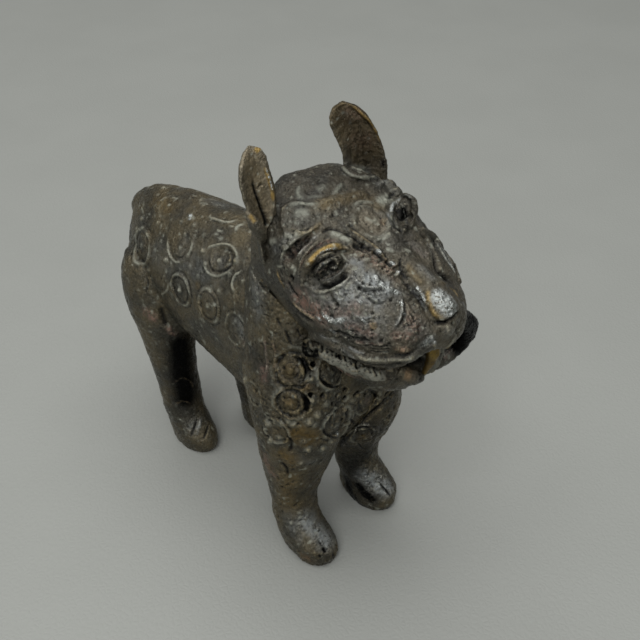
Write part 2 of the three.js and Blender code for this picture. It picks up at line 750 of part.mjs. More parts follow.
const LEGS = {
  foreleg_right: { shape: FORELEG, side: -1, spots: ROSETTES.foreleg },
  foreleg_left: { shape: FORELEG, side: 1, spots: ROSETTES.foreleg },
  hindleg_right: { shape: HINDLEG, side: -1, spots: [] },
  hindleg_left: { shape: HINDLEG, side: 1, spots: [] },
};
for (const [name, { shape, side, spots }] of Object.entries(LEGS)) {
  const loft = new Loft(sided(shape, side), true);
  const [leg, legClear] = marked(loft, spots, [side]);
  place(name, cut(leg, toeSlits(loft)), legClear);
}

for (const [side, eye] of eyes) {
  figurine.add(mesh(`eye_${side}`, eyeball(eye, 0), bronze));
}
taken.push(...sockets);
for (const [side, eye] of eyes) {
  place(`eyelid_${side}`, lid(eye, 0), lid(eye, SEAM));
}
for (const [name, blade] of Object.entries(EARS)) {
  const [made, clear] = [0, SEAM].map((grow) => solid(ear(blade, grow), earPlace(blade)));
  place(name, made, clear);
}

// Rolled lips, fangs, teeth and tongue
for (const [name, roll] of Object.entries(LIPS)) {
  place(name, ...rope(lipPath(roll), roll.radii, 9, 16, atRoof));
}
for (const [name, fang] of Object.entries(FANGS)) {
  place(name, ...rope(fang.path, fang.radii, 8, 6, atRoof), worn);
}
for (const [name, row] of Object.entries(TEETH)) {
  place(name, teeth(row, 0), teeth(row, SEAM), crusted);
}
place("tongue", ...plain(tongueLoft, atRoof));
place("tail", ...rope(TAIL.path, TAIL.radii, 12, 20));

figurine.add(mesh("clay_core", largest(cut(hollow(-SEAM), pinHoles)), clay));
for (const [name, where] of Object.entries(PINS)) {
  figurine.add(mesh(name, pin(where, 0), iron));
}

// The origin is the middle of the footprint, on the ground.
const box = new THREE.Box3().setFromObject(figurine);
figurine.position.set(-(box.min.x + box.max.x) / 2, -(box.min.y + box.max.y) / 2, -box.min.z);

export default figurine;
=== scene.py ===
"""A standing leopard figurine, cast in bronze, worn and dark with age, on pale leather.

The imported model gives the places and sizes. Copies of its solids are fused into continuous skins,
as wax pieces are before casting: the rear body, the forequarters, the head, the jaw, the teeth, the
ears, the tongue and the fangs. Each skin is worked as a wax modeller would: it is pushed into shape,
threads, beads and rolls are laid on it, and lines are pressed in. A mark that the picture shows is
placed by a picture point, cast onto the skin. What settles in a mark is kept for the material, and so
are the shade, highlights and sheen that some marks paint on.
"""

import logging
import math
from dataclasses import dataclass, field
from enum import Enum
from itertools import product
from typing import Iterable, Optional, Sequence

import bmesh
import bpy
import numpy as np
from mathutils import Euler, Matrix, Vector
from mathutils.bvhtree import BVHTree


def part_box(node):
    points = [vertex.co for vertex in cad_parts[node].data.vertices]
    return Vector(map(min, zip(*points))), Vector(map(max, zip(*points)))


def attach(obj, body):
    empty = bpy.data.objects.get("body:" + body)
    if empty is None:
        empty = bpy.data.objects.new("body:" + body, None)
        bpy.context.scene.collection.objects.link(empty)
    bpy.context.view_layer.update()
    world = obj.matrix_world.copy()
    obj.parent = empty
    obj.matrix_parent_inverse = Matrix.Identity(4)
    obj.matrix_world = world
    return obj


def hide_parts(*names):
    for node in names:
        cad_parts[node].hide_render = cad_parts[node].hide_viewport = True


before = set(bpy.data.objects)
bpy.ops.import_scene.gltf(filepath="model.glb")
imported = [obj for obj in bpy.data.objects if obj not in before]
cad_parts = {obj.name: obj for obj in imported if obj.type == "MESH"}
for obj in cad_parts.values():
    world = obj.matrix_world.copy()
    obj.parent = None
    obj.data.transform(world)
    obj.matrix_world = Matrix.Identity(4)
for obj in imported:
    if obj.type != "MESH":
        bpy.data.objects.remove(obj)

log = logging.getLogger("leopard")

MM = 0.001
BODY = "root"
MOST_TRIANGLES = 190_000  # a piece stays under 200,000


class Look(Enum):
    """What the two numbers of a mark's place mean."""

    PICTURE = "pixels of the picture"
    LEFT = "y and z in mm, seen from the leopard's left"
    BEHIND = "x and z in mm, seen from behind"


@dataclass(frozen=True)
class Photograph:
    """The camera that took the picture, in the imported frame: its place in mm, its turn in degrees."""

    x: float = -165.6
    y: float = -210.5
    z: float = 260.3
    heading: float = -42.0
    down: float = 36.0
    focal_px: float = 1011.3
    side_px: float = 640.0
    sensor_mm: float = 36.0
    sees: float = 20.0  # metres

    def place(self) -> Vector:
        """The camera's place, in metres."""
        return Vector((self.x, self.y, self.z)) * MM

    def turn(self) -> Matrix:
        """The camera's turn, which looks down its own -Z."""
        angles = (math.radians(90 - self.down), 0, math.radians(self.heading))
        return Euler(angles).to_matrix()

    def ray(self, right: float, down: float) -> tuple[Vector, Vector]:
        """The ray through a picture point.

        Args:
            right: pixels from the picture's left edge.
            down: pixels from its top edge.

        Returns:
            The start and the direction, in metres.
        """
        half = self.side_px / 2
        local = Vector(((right - half) / self.focal_px, (half - down) / self.focal_px, -1))
        return self.place(), (self.turn() @ local).normalized()

    def camera(self) -> bpy.types.Object:
        """Makes the camera and returns it."""
        lens = bpy.data.cameras.new("photograph")
        lens.sensor_width = self.sensor_mm
        lens.lens = self.focal_px * self.sensor_mm / self.side_px
        lens.clip_end = self.sees
        holder = bpy.data.objects.new("photograph", lens)
        holder.matrix_world = Matrix.Translation(self.place()) @ self.turn().to_4x4()
        bpy.context.scene.collection.objects.link(holder)
        return holder


PHOTOGRAPH = Photograph()
FAR = 0.3  # metres, a start well outside the figurine
NEAR_ENOUGH = 0.003  # metres, by how much a sight line may pass the form by
SIGHT_STEPS = 300  # places tried along a sight line that passes the form by


def sight(look: Look, a: float, b: float) -> tuple[Vector, Vector]:
    """The ray that places a mark.

    Args:
        look: what the two numbers mean.
        a: the first number.
        b: the second number.

    Returns:
        The start and the direction, in metres.
    """
    if look is Look.PICTURE:
        return PHOTOGRAPH.ray(a, b)
    a, b = a * MM, b * MM
    if look is Look.LEFT:
        return Vector((FAR, a, b)), Vector((-1, 0, 0))
    return Vector((a, FAR, b)), Vector((0, -1, 0))


HEAD_PIVOT = (0.9, -25.7)  # x and y in mm of the place that the head turns about
HEAD_TURN = math.radians(8.5)  # to the leopard's left


def mirrored(points: np.ndarray) -> np.ndarray:
    """Points of the head carried over to its other side, by its middle plane."""
    across = np.array((math.cos(HEAD_TURN), math.sin(HEAD_TURN), 0))
    centre = np.array((*HEAD_PIVOT, 0)) * MM
    return points - 2 * np.outer((points - centre) @ across, across)


AXIS_KEYS = np.array((73856093, 19349663, 83492791))  # large primes that number a lattice's corners
SEED_KEY = 2654435
MIXES = ((13, 1274126177), (15, 668265263))  # shifts and odd factors that scatter the numbers
ALL_BITS, HALF_BITS = 0x7FFFFFFF, 0x3FFFFFFF


def grain(points: np.ndarray, size: float, seed: int) -> np.ndarray:
    """Smooth noise from a lattice.

    Args:
        points: places in metres.
        size: the lattice's pitch in millimetres.
        seed: the pattern's number.

    Returns:
        A value from -1 to 1 for each point.
    """
    cells = points / (size * MM)
    base = np.floor(cells).astype(np.int64)
    ease = (cells - base) ** 2 * (3 - 2 * (cells - base))
    total = np.zeros(len(points))
    for corner in product((0, 1), repeat=3):
        keys = (base + np.array(corner)) @ AXIS_KEYS + seed * SEED_KEY
        for shift, factor in MIXES:
            keys = ((keys ^ (keys >> shift)) * factor) & ALL_BITS
        weight = np.prod(np.where(np.array(corner), ease, 1 - ease), axis=1)
        total += weight * (keys / HALF_BITS - 1)
    return total


def layered(points: np.ndarray, size: float, seed: int, layers: int = 3) -> np.ndarray:
    """Noise of several sizes, each half the one before."""
    return sum(grain(points, size / 2**k, seed + k) / 2**k for k in range(layers))


def smooth_step(values: np.ndarray, low: float, high: float) -> np.ndarray:
    """0 below low, 1 above high, and an eased ramp between."""
    share = np.clip((values - low) / (high - low), 0, 1)
    return share * share * (3 - 2 * share)


def object_from(name: str, mesh: bpy.types.Mesh) -> bpy.types.Object:
    """A new object that holds a mesh, in the scene."""
    made = bpy.data.objects.new(name, mesh)
    bpy.context.scene.collection.objects.link(made)
    return made


def settled(piece: bpy.types.Object) -> bpy.types.Mesh:
    """The plain mesh that an object's modifiers give. The object goes."""
    graph = bpy.context.evaluated_depsgraph_get()
    mesh = bpy.data.meshes.new_from_object(piece.evaluated_get(graph))
    bpy.data.objects.remove(piece)
    return mesh


def joined(meshes: Iterable[bpy.types.Mesh]) -> bpy.types.Mesh:
    """Several meshes as one. The ones given go."""
    work = bmesh.new()
    for mesh in meshes:
        work.from_mesh(mesh)
        bpy.data.meshes.remove(mesh)
    whole = bpy.data.meshes.new("joined")
    work.to_mesh(whole)
    work.free()
    return whole


SEAM_GROWTH = 0.18  # mm, so much fatter each node has to be for the seams between them to close
CORE_GROWTH = 0.4  # mm, so much fatter the core has to be to meet the metal round it
WELD = 1e-6  # metres


def grown_copy(node: str, grow: float) -> bpy.types.Mesh:
    """A merged copy of a CAD node, a little fatter, so that pieces a seam apart meet.

    Args:
        node: the CAD node.
        grow: how much fatter, in millimetres.

    Returns:
        The copy's mesh.
    """
    work = bmesh.new()
    work.from_mesh(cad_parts[node].data)
    bmesh.ops.remove_doubles(work, verts=work.verts, dist=WELD)
    work.normal_update()
    for corner in work.verts:
        corner.co += corner.normal * grow * MM
    copy = bpy.data.meshes.new(node)
    work.to_mesh(copy)
    work.free()
    return copy


def core_within(node: str, inset: float = 2.0) -> bpy.types.Mesh:
    """The part of the clay core that a hollow node goes round, to fill it.

    Args:
        node: the hollow node.
        inset: how far inside the node's box the core is cut, in millimetres.

    Returns:
        The closed mesh of that part.
    """
    low, high = (Vector(corner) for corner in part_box(node))
    work = bmesh.new()
    copy = grown_copy("clay_core", CORE_GROWTH)
    work.from_mesh(copy)
    bpy.data.meshes.remove(copy)
    for axis in range(3):
        for end, sign in ((low, -1), (high, 1)):
            normal = Vector((0, 0, 0))
            normal[axis] = sign
            place = end.copy()
            place[axis] -= sign * inset * MM
            everything = list(work.verts) + list(work.edges) + list(work.faces)
            cut = bmesh.ops.bisect_plane(
                work, geom=everything, plane_co=place, plane_no=normal, clear_outer=True
            )
            rim = [part for part in cut["geom_cut"] if isinstance(part, bmesh.types.BMEdge)]
            bmesh.ops.holes_fill(work, edges=rim)
    filled = bpy.data.meshes.new("core_part")
    work.to_mesh(filled)
    work.free()
    return filled


class Wax:
    """A closed surface that is worked as an array of corners, in metres."""

    INWARDS = 0.6  # how far a corner goes towards its neighbours' mean in one round
    BACK = 0.63  # how far it then comes back, so that the form doesn't shrink

    def __init__(self, mesh: bpy.types.Mesh) -> None:
        """Reads the corners and edges of a mesh."""
        self.mesh = mesh
        self.points = np.empty(len(mesh.vertices) * 3)
        mesh.vertices.foreach_get("co", self.points)
        self.points = self.points.reshape(-1, 3)
        edges = np.empty(len(mesh.edges) * 2, dtype=np.int32)
        mesh.edges.foreach_get("vertices", edges)
        self.edges = edges.reshape(-1, 2)
        self.ends = np.concatenate([self.edges[:, 0], self.edges[:, 1]])
        self.others = np.concatenate([self.edges[:, 1], self.edges[:, 0]])
        self.degree = np.bincount(self.ends, minlength=len(self.points))

    def write(self) -> None:
        """Puts the corners back into the mesh."""
        self.mesh.vertices.foreach_set("co", self.points.ravel())
        self.mesh.update()

    def normals(self) -> np.ndarray:
        """The outward direction at each corner."""
        self.write()
        out = np.empty(len(self.points) * 3)
        self.mesh.vertex_normals.foreach_get("vector", out)
        return out.reshape(-1, 3)

    def spread(self, values: np.ndarray) -> np.ndarray:
        """The mean of each corner's neighbours."""
        count = len(self.points)
        flat = values.reshape(count, -1)
        sums = [np.bincount(self.ends, flat[self.others, k], count) for k in range(flat.shape[1])]
        return (np.stack(sums, axis=1) / self.degree[:, None]).reshape(values.shape)

    def blurred(self, values: np.ndarray, rounds: int) -> np.ndarray:
        """Values spread over their neighbours several times."""
        for _ in range(rounds):
            values = 0.5 * values + 0.5 * self.spread(values)
        return values

    def relax(self, rounds: int) -> None:
        """Smooths facets and seams away without shrinking."""
        for _ in range(rounds):
            self.points += self.INWARDS * (self.spread(self.points) - self.points)
            self.points -= self.BACK * (self.spread(self.points) - self.points)
        self.write()

    def push(self, amount: np.ndarray) -> None:
        """Moves each corner outwards by an amount in millimetres."""
        self.points += self.normals() * (amount * MM)[:, None]
        self.write()

    def tree(self) -> BVHTree:
        """A search tree of the surface as it is now."""
        self.write()
        faces = [tuple(face.vertices) for face in self.mesh.polygons]
        return BVHTree.FromPolygons([Vector(p) for p in self.points], faces)

    def keep(self, name: str, values: np.ndarray) -> None:
        """Stores one number for each corner, for the material to read."""
        layer = self.mesh.attributes.new(name, "FLOAT", "POINT")
        layer.data.foreach_set("value", values.astype(np.float32))


def recast(mesh: bpy.types.Mesh, voxel: float) -> Wax:
    """Fuses overlapping closed shapes into one even surface.

    Args:
        mesh: the shapes.
        voxel: the new faces' size in millimetres.

    Returns:
        The largest body of the result.
    """
    piece = object_from("recast", mesh)
    fuse = piece.modifiers.new("fuse", "REMESH")
    fuse.mode = "VOXEL"
    fuse.voxel_size = voxel * MM
    fuse.use_smooth_shade = True
    fused = settled(piece)
    bpy.data.meshes.remove(mesh)
    return Wax(largest_body(fused))


def largest_body(mesh: bpy.types.Mesh) -> bpy.types.Mesh:
    """A mesh without the crumbs that hang apart from its largest body."""
    edges = np.empty(len(mesh.edges) * 2, dtype=np.int32)
    mesh.edges.foreach_get("vertices", edges)
    edges = edges.reshape(-1, 2)
    label = np.arange(len(mesh.vertices))
    while True:
        least = np.minimum(label[edges[:, 0]], label[edges[:, 1]])
        after = label.copy()
        np.minimum.at(after, edges[:, 0], least)
        np.minimum.at(after, edges[:, 1], least)
        after = after[after]
        if np.array_equal(after, label):
            break
        label = after
    main = np.bincount(label).argmax()
    loose = np.nonzero(label != main)[0]
    if len(loose):
        work = bmesh.new()
        work.from_mesh(mesh)
        work.verts.ensure_lookup_table()
        bmesh.ops.delete(work, geom=[work.verts[int(k)] for k in loose], context="VERTS")
        work.to_mesh(mesh)
        work.free()
    return mesh


# what marks leave for the material: real stains, and painted shade, highlights and sheen
STAINS = ("soil", "wear", "soot_and_shade", "rust", "silver_glint", "dust_and_sheen")
WORN_AWAY = 0.6  # a rosette fainter than this has lost its threads
PLAIN_CRUST = 0.55  # how rough the casting is away from any mark
STEP_MM = 0.35  # from point to point along a mark
ENDS = 6  # a line that tapers does so over one part in this many, at each end
THINNEST = 0.15  # share of its strength that is left at its tips
DIRT_RADII = 1.9  # how far dirt reaches from a stud's middle
PRESS_RADII = 1.8  # how far a rosette's pressing reaches from its middle
WAVER = 0.05  # share of the radius by which a pressed ring strays
FINE_ROUNDS, FINE_MM = 3, 0.12  # the smoothing that fine relief is measured against, and full relief
BROAD_ROUNDS, BROAD_MM = 30, 0.6
HOLE_MM = 0.3  # depth
PIT_MM = 0.2
RIDGE_SIZE, RIDGE_SEED, RIDGE_SHARP, RIDGE_MM = 1.1, 40, 2.2, 0.22


@dataclass(frozen=True)
class Specks:
    """Specks of the casting, which show where a grain is above a level."""

    size: float  # mm
    seed: int  # added to the skin's own
    low: float
    high: float

    def over(self, points: np.ndarray, seed: int) -> np.ndarray:
        """How much of them each corner has, from 0 to 1."""
        return smooth_step(grain(points, self.size, seed + self.seed), self.low, self.high)


@dataclass(frozen=True)
class Swell:
    """An unevenness of the hand-worked wax."""

    size: float  # mm
    seed: int  # added to the skin's own
    height: float  # mm
    layers: int = 3

    def over(self, points: np.ndarray, seed: int) -> np.ndarray:
        """Its height at each corner, in millimetres."""
        return self.height * layered(points, self.size, seed + self.seed, self.layers)


HOLES = Specks(1.3, 20, 0.66, 0.8)
PITS = Specks(1.1, 20, 0.5, 0.8)
FLECKS = Specks(1.1, 50, 0.64, 0.76)  # of dirt
UNBROKEN = Specks(2.6, 5, -0.35, 0.25)  # where the dirt in a rosette's rings is whole
WAVES = Swell(7, 0, 0.2)
RIPPLES = Swell(1.8, 9, 0.09)
LUMPS = Swell(2.4, 30, 0.3, 2)


@dataclass(frozen=True)
class Mark:
    """A line or a dab worked into the wax, what settles in it, and any painted shade, highlight and sheen.
    """

    path: Sequence[tuple[float, float]]
    width: float  # mm, from its middle to where it fades out
    rise: float = 0.0  # mm, pressed in where negative
    taper: bool = True
    soil: float = 0.0  # pale dirt
    wear: float = 0.0  # bare golden metal
    soot_and_shade: float = 0.0  # black: dark patina in pits and grooves, and painted shade where the form lies in shade
    rust: float = 0.0  # pinkish brown, and beside the hip crease a painted highlight
    silver_glint: float = 0.0  # bright grey: painted highlights on ridges, rims and edges, and the nose's pale oval
    dust_and_sheen: float = 0.0  # a thin grey bloom of dust, and painted sheen where light falls, as on the muzzle, the back and the right ear
    rough: float = 0.0  # a crust, in parts of the usual one


@dataclass(frozen=True)
class Nudge:
    """A soft push of the bare form round one place, in millimetres."""

    a: float
    b: float
    reach: float
    move: tuple[float, float, float]


@dataclass(frozen=True)
class Roll:
    """A thread of wax laid on the surface, in millimetres."""

    path: Sequence[tuple[float, float]]
    radii: Sequence[float]
    sink: float = 0.3  # share of the radius that lies under the surface
    both: bool = False  # on the other side of the head too


class Style(Enum):
    """How a rosette was made."""

    THREAD = "a thread ring and a boss"
    BEADED = "a pressed ring with beads round it"
    BROAD = "a low broad ring, filled with dirt in places"


@dataclass(frozen=True)
class Rosette:
    """One ring-and-boss mark of the hide."""

    a: float
    b: float
    radius: float = 5.2  # mm
    style: Style = Style.THREAD
    look: Look = Look.PICTURE
    faint: float = 0.0  # 1 is worn away


@dataclass(frozen=True)
class Stud:
    """A small bead of wax between the rosettes."""

    a: float
    b: float
    radius: float = 0.55  # mm
    look: Look = Look.PICTURE
    soil: float = 0.5  # pale dirt on it


Spot = tuple[Rosette | Stud, Vector, Vector]  # a placed one, its middle and the surface's direction


def curve_through(points: np.ndarray, spacing: float) -> np.ndarray:
    """Even points on a smooth curve through some points.

    Args:
        points: the places it goes through, in metres.
        spacing: the step in millimetres.

    Returns:
        The points along it.
    """
    if len(points) == 1:
        return points
    padded = np.vstack([2 * points[0] - points[1], points, 2 * points[-1] - points[-2]])
    parts = []
    for k in range(len(points) - 1):
        p0, p1, p2, p3 = padded[k : k + 4]
        steps = max(2, int(np.linalg.norm(p2 - p1) / (spacing * MM)))
        t = np.linspace(0, 1, steps, endpoint=False)[:, None]
        parts.append(
            0.5 * (2 * p1 + (p2 - p0) * t + (2 * p0 - 5 * p1 + 4 * p2 - p3) * t**2
                   + (3 * p1 - p0 - 3 * p2 + p3) * t**3)
        )
    return np.vstack([*parts, points[-1:]])


ASKEW = (0.3, 0.2, 0.9)  # a direction that no tube starts in
DOMES = ((-1.0, 0.02), (-0.7, 0.71), (0.0, 1.0))  # a round end: how far out, and how wide, in radii


def tube(points: np.ndarray, radii: np.ndarray, sides: int = 12) -> bpy.types.Mesh:
    """A closed tube with round ends.

    Args:
        points: its middle line, in metres.
        radii: its radius at each point, in metres.
        sides: corners round it.

    Returns:
        The mesh.
    """
    ahead = np.gradient(points, axis=0)
    ahead /= np.linalg.norm(ahead, axis=1)[:, None]
    work = bmesh.new()
    side = np.cross(ahead[0], ASKEW)
    rings = []
    turns = np.linspace(0, 2 * math.pi, sides, endpoint=False)
    stations = [(0, out, share) for out, share in DOMES]
    stations += [(k, 0.0, 1.0) for k in range(1, len(points) - 1)]
    stations += [(len(points) - 1, -out, share) for out, share in reversed(DOMES)]
    for k, out, share in stations:
        side = side - ahead[k] * side.dot(ahead[k])
        side /= np.linalg.norm(side)
        up = np.cross(ahead[k], side)
        centre = points[k] + ahead[k] * out * radii[k]
        ring = np.outer(np.cos(turns), side) + np.outer(np.sin(turns), up)
        corners = centre + radii[k] * share * ring
        rings.append([work.verts.new(corner) for corner in corners])
    for first, second in zip(rings, rings[1:]):
        for k in range(sides):
            work.faces.new((first[k], first[(k + 1) % sides], second[(k + 1) % sides], second[k]))
    work.faces.new(list(reversed(rings[0])))
    work.faces.new(rings[-1])
    made = bpy.data.meshes.new("tube")
    work.to_mesh(made)
    work.free()
    return made


class Graph:
    """A node tree that is put together by name."""

    def __init__(self, tree: bpy.types.NodeTree) -> None:
        """Takes the tree to work on."""
        self.tree = tree

    def add(self, kind: str, values: Optional[dict] = None, **settings: object) -> bpy.types.Node:
        """Adds a node.

        Args:
            kind: the node's type.
            values: what goes into its inputs, by name or number: a socket or a value.
            settings: the node's own settings.

        Returns:
            The node.
        """
        node = self.tree.nodes.new(kind)
        for key, value in settings.items():
            setattr(node, key, value)
        for key, value in (values or {}).items():
            self.feed(node.inputs[key], value)
        return node

    def feed(self, socket: bpy.types.NodeSocket, value: object) -> None:
        """Links a socket to another, or sets its value."""
        if isinstance(value, bpy.types.NodeSocket):
            self.tree.links.new(value, socket)
        else:
            socket.default_value = value


class Tree(Graph):
    """A Geometry Nodes tree."""

    def __init__(self, name: str) -> None:
        """Starts an empty tree with a geometry in and out."""
        super().__init__(bpy.data.node_groups.new(name, "GeometryNodeTree"))
        self.tree.interface.new_socket("Geometry", in_out="INPUT", socket_type="NodeSocketGeometry")
        self.tree.interface.new_socket("Geometry", in_out="OUTPUT", socket_type="NodeSocketGeometry")
        self.given = self.tree.nodes.new("NodeGroupInput")
        self.result = self.tree.nodes.new("NodeGroupOutput")

    def ask(self, name: str, kind: str) -> bpy.types.NodeSocket:
        """Adds a named input and returns its socket."""
        self.tree.interface.new_socket(name, in_out="INPUT", socket_type=kind)
        return self.given.outputs[name]

    def give(self, shape: bpy.types.NodeSocket, finish: bpy.types.NodeSocket) -> "Tree":
        """Makes a shape's instances real, dresses it and lets the tree give it out."""
        whole = self.add("GeometryNodeRealizeInstances", {"Geometry": shape})
        values = {"Geometry": whole.outputs["Geometry"], "Material": finish}
        dressed = self.add("GeometryNodeSetMaterial", values)
        self.feed(self.result.inputs["Geometry"], dressed.outputs["Geometry"])
        return self

    def run(self, base: bpy.types.Mesh, inputs: dict) -> bpy.types.Mesh:
        """Runs the tree on a mesh.

        Args:
            base: the mesh it starts from, which goes.
            inputs: the value of each named input.

        Returns:
            The plain mesh it makes.
        """
        piece = object_from("worked", base)
        change = piece.modifiers.new("tree", "NODES")
        change.node_group = self.tree
        for item in self.tree.interface.items_tree:
            if item.item_type == "SOCKET" and item.in_out == "INPUT" and item.name in inputs:
                change[item.identifier] = inputs[item.name]
        made = settled(piece)
        bpy.data.meshes.remove(base)
        return made


RING_BEADS = (0.65, 1.25)  # the least and the most size of a ring's beads, in parts of the usual one
STUD_BEADS = (0.8, 1.2)
THREAD_RADII = (0.55, 1.25)
THREAD_NOISE = 700.0  # waves in a metre of thread


def laid_rings(name: str, beaded: bool) -> Tree:
    """A tree that lays a ring of thread, or of beads, round each point of a surface.

    The points carry the surface's direction as "outward" and the ring's radius as "size". Each
    ring is drawn onto the surface, and its thread or beads vary a little in thickness.

    Args:
        name: the tree's name.
        beaded: whether the ring is beads or one thread.

    Returns:
        The tree, with inputs Surface, Share, Thickness, Count, Seed and Finish.
    """
    made = Tree(name)
    surface = made.ask("Surface", "NodeSocketObject")
    share = made.ask("Share", "NodeSocketFloat")
    thickness = made.ask("Thickness", "NodeSocketFloat")
    count = made.ask("Count", "NodeSocketInt")
    seed = made.ask("Seed", "NodeSocketInt")
    finish = made.ask("Finish", "NodeSocketMaterial")
    outward = made.add("GeometryNodeInputNamedAttribute", {"Name": "outward"}, data_type="FLOAT_VECTOR")
    size = made.add("GeometryNodeInputNamedAttribute", {"Name": "size"}, data_type="FLOAT")
    values = {"Vector": outward.outputs["Attribute"]}
    aim = made.add("FunctionNodeAlignRotationToVector", values, axis="Z")
    reach = made.add("ShaderNodeMath", {0: size.outputs["Attribute"], 1: share}, operation="MULTIPLY")
    circle = made.add("GeometryNodeCurvePrimitiveCircle", {"Resolution": count, "Radius": 1.0})
    rings = made.add(
        "GeometryNodeInstanceOnPoints",
        {
            "Points": made.given.outputs["Geometry"],
            "Instance": circle.outputs["Curve"],
            "Rotation": aim.outputs["Rotation"],
            "Scale": reach.outputs[0],
        },
    )
    loose = made.add("GeometryNodeRealizeInstances", {"Geometry": rings.outputs["Instances"]})
    target = made.add("GeometryNodeObjectInfo", {"Object": surface})
    nearest = made.add("GeometryNodeProximity", {0: target.outputs["Geometry"]}, target_element="FACES")
    laid = made.add(
        "GeometryNodeSetPosition",
        {"Geometry": loose.outputs["Geometry"], "Position": nearest.outputs["Position"]},
    )
    if beaded:
        ball = made.add("GeometryNodeMeshIcoSphere", {"Radius": thickness, "Subdivisions": 2})
        least, most = RING_BEADS
        values = {2: least, 3: most, "Seed": seed}
        vary = made.add("FunctionNodeRandomValue", values, data_type="FLOAT")
        values = {"Curve": laid.outputs["Geometry"]}
        dots = made.add("GeometryNodeCurveToPoints", values, mode="EVALUATED")
        beads = made.add(
            "GeometryNodeInstanceOnPoints",
            {
                "Points": dots.outputs["Points"],
                "Instance": ball.outputs["Mesh"],
                "Scale": vary.outputs[1],
            },
        )
        shape = beads.outputs["Instances"]
    else:
        least, most = THREAD_RADII
        waver = made.add("ShaderNodeTexNoise", {"Scale": THREAD_NOISE, "Detail": 1.0})
        radius = made.add(
            "ShaderNodeMapRange",
            {
                "Value": waver.outputs[0],
                "From Min": 0.3,
                "From Max": 0.7,
                "To Min": least,
                "To Max": most,
            },
        )
        drawn = made.add(
            "GeometryNodeSetCurveRadius",
            {"Curve": laid.outputs["Geometry"], "Radius": radius.outputs[0]},
        )
        section = made.add("GeometryNodeCurvePrimitiveCircle", {"Resolution": 8, "Radius": thickness})
        thread = made.add(
            "GeometryNodeCurveToMesh",
            {
                "Curve": drawn.outputs["Curve"],
                "Profile Curve": section.outputs["Curve"],
                "Scale": radius.outputs[0],
            },
        )
        shape = thread.outputs["Mesh"]
    return made.give(shape, finish)


def studded(name: str) -> Tree:
    """A tree that sets a rough bead on each point, by the point's "size".

    Args:
        name: the tree's name.

    Returns:
        The tree, with inputs Seed and Finish.
    """
    made = Tree(name)
    seed = made.ask("Seed", "NodeSocketInt")
    finish = made.ask("Finish", "NodeSocketMaterial")
    size = made.add("GeometryNodeInputNamedAttribute", {"Name": "size"}, data_type="FLOAT")
    least, most = STUD_BEADS
    values = {2: least, 3: most, "Seed": seed}
    vary = made.add("FunctionNodeRandomValue", values, data_type="FLOAT")
    values = {0: size.outputs["Attribute"], 1: vary.outputs[1]}
    reach = made.add("ShaderNodeMath", values, operation="MULTIPLY")
    ball = made.add("GeometryNodeMeshIcoSphere", {"Radius": 1.0, "Subdivisions": 2})
    beads = made.add(
        "GeometryNodeInstanceOnPoints",
        {
            "Points": made.given.outputs["Geometry"],
            "Instance": ball.outputs["Mesh"],
            "Scale": reach.outputs[0],
        },
    )
    return made.give(beads.outputs["Instances"], finish)


@dataclass(frozen=True)
class RingLayer:
    """One ring of a rosette, as a thread or as beads."""

    beaded: bool
    share: float  # of the rosette's radius
    thickness: float  # mm
    count: int  # corners or beads round it


RING_LAYERS = {
    Style.THREAD: (RingLayer(False, 1.0, 0.36, 40), RingLayer(False, 0.42, 0.24, 20)),
    Style.BEADED: (RingLayer(True, 1.0, 0.62, 19), RingLayer(False, 0.5, 0.28, 24)),
    Style.BROAD: (RingLayer(False, 1.0, 0.3, 40),),
}


@dataclass(frozen=True)
class Band:
    """A ring-shaped band of a rosette: where, how wide and how much."""

    share: float
    width: float
    much: float


@dataclass(frozen=True)
class Press:
    """What pressing a rosette does: the relief in millimetres and the stains."""

    relief: Sequence[Band]
    stains: dict[str, Sequence[Band]]


PRESSES = {
    Style.THREAD: Press(
        (Band(0, 0.16, 0.5), Band(0.8, 0.1, -0.3), Band(1.2, 0.09, -0.25)),
        {
            "soil": (Band(1.0, 0.075, 0.9), Band(0, 0.13, 0.9)),
            "soot_and_shade": (Band(0.83, 0.07, 0.45), Band(0.3, 0.08, 0.4)),
        },
    ),
    Style.BEADED: Press(
        (Band(0, 0.13, 0.5), Band(0, 0.45, 0.5), Band(0.78, 0.1, -0.6), Band(0.4, 0.06, -0.25)),
        {
            "soil": (Band(1.02, 0.07, 0.5), Band(0, 0.08, 0.4)),
            "soot_and_shade": (Band(0.78, 0.08, 0.35), Band(0.38, 0.06, 0.3)),
            "wear": (Band(0.2, 0.3, 0.2),),
        },
    ),
    Style.BROAD: Press(
        (Band(0, 0.16, 0.5), Band(0.92, 0.16, 0.35), Band(0.66, 0.1, -0.4), Band(1.2, 0.1, -0.25)),
        {
            "soil": (Band(0.97, 0.1, 0.7), Band(0, 0.16, 0.8)),
            "soot_and_shade": (Band(0.68, 0.08, 0.4), Band(1.18, 0.07, 0.35)),
        },
    ),
}


def points_mesh(spots: Sequence[Spot]) -> bpy.types.Mesh:
    """A mesh of bare points, one for each placed rosette or stud.

    Args:
        spots: each one, its place and the surface's direction there.

    Returns:
        The mesh, whose points carry the direction as "outward" and the radius as "size".
    """
    made = bpy.data.meshes.new("points")
    made.from_pydata([tuple(place) for _, place, _ in spots], [], [])
    ways = np.array([tuple(way) for _, _, way in spots], dtype=np.float32)
    facing = made.attributes.new("outward", "FLOAT_VECTOR", "POINT")
    facing.data.foreach_set("vector", ways.ravel())
    sizes = np.array([thing.radius * MM for thing, _, _ in spots], dtype=np.float32)
    size = made.attributes.new("size", "FLOAT", "POINT")
    size.data.foreach_set("value", sizes)
    return made


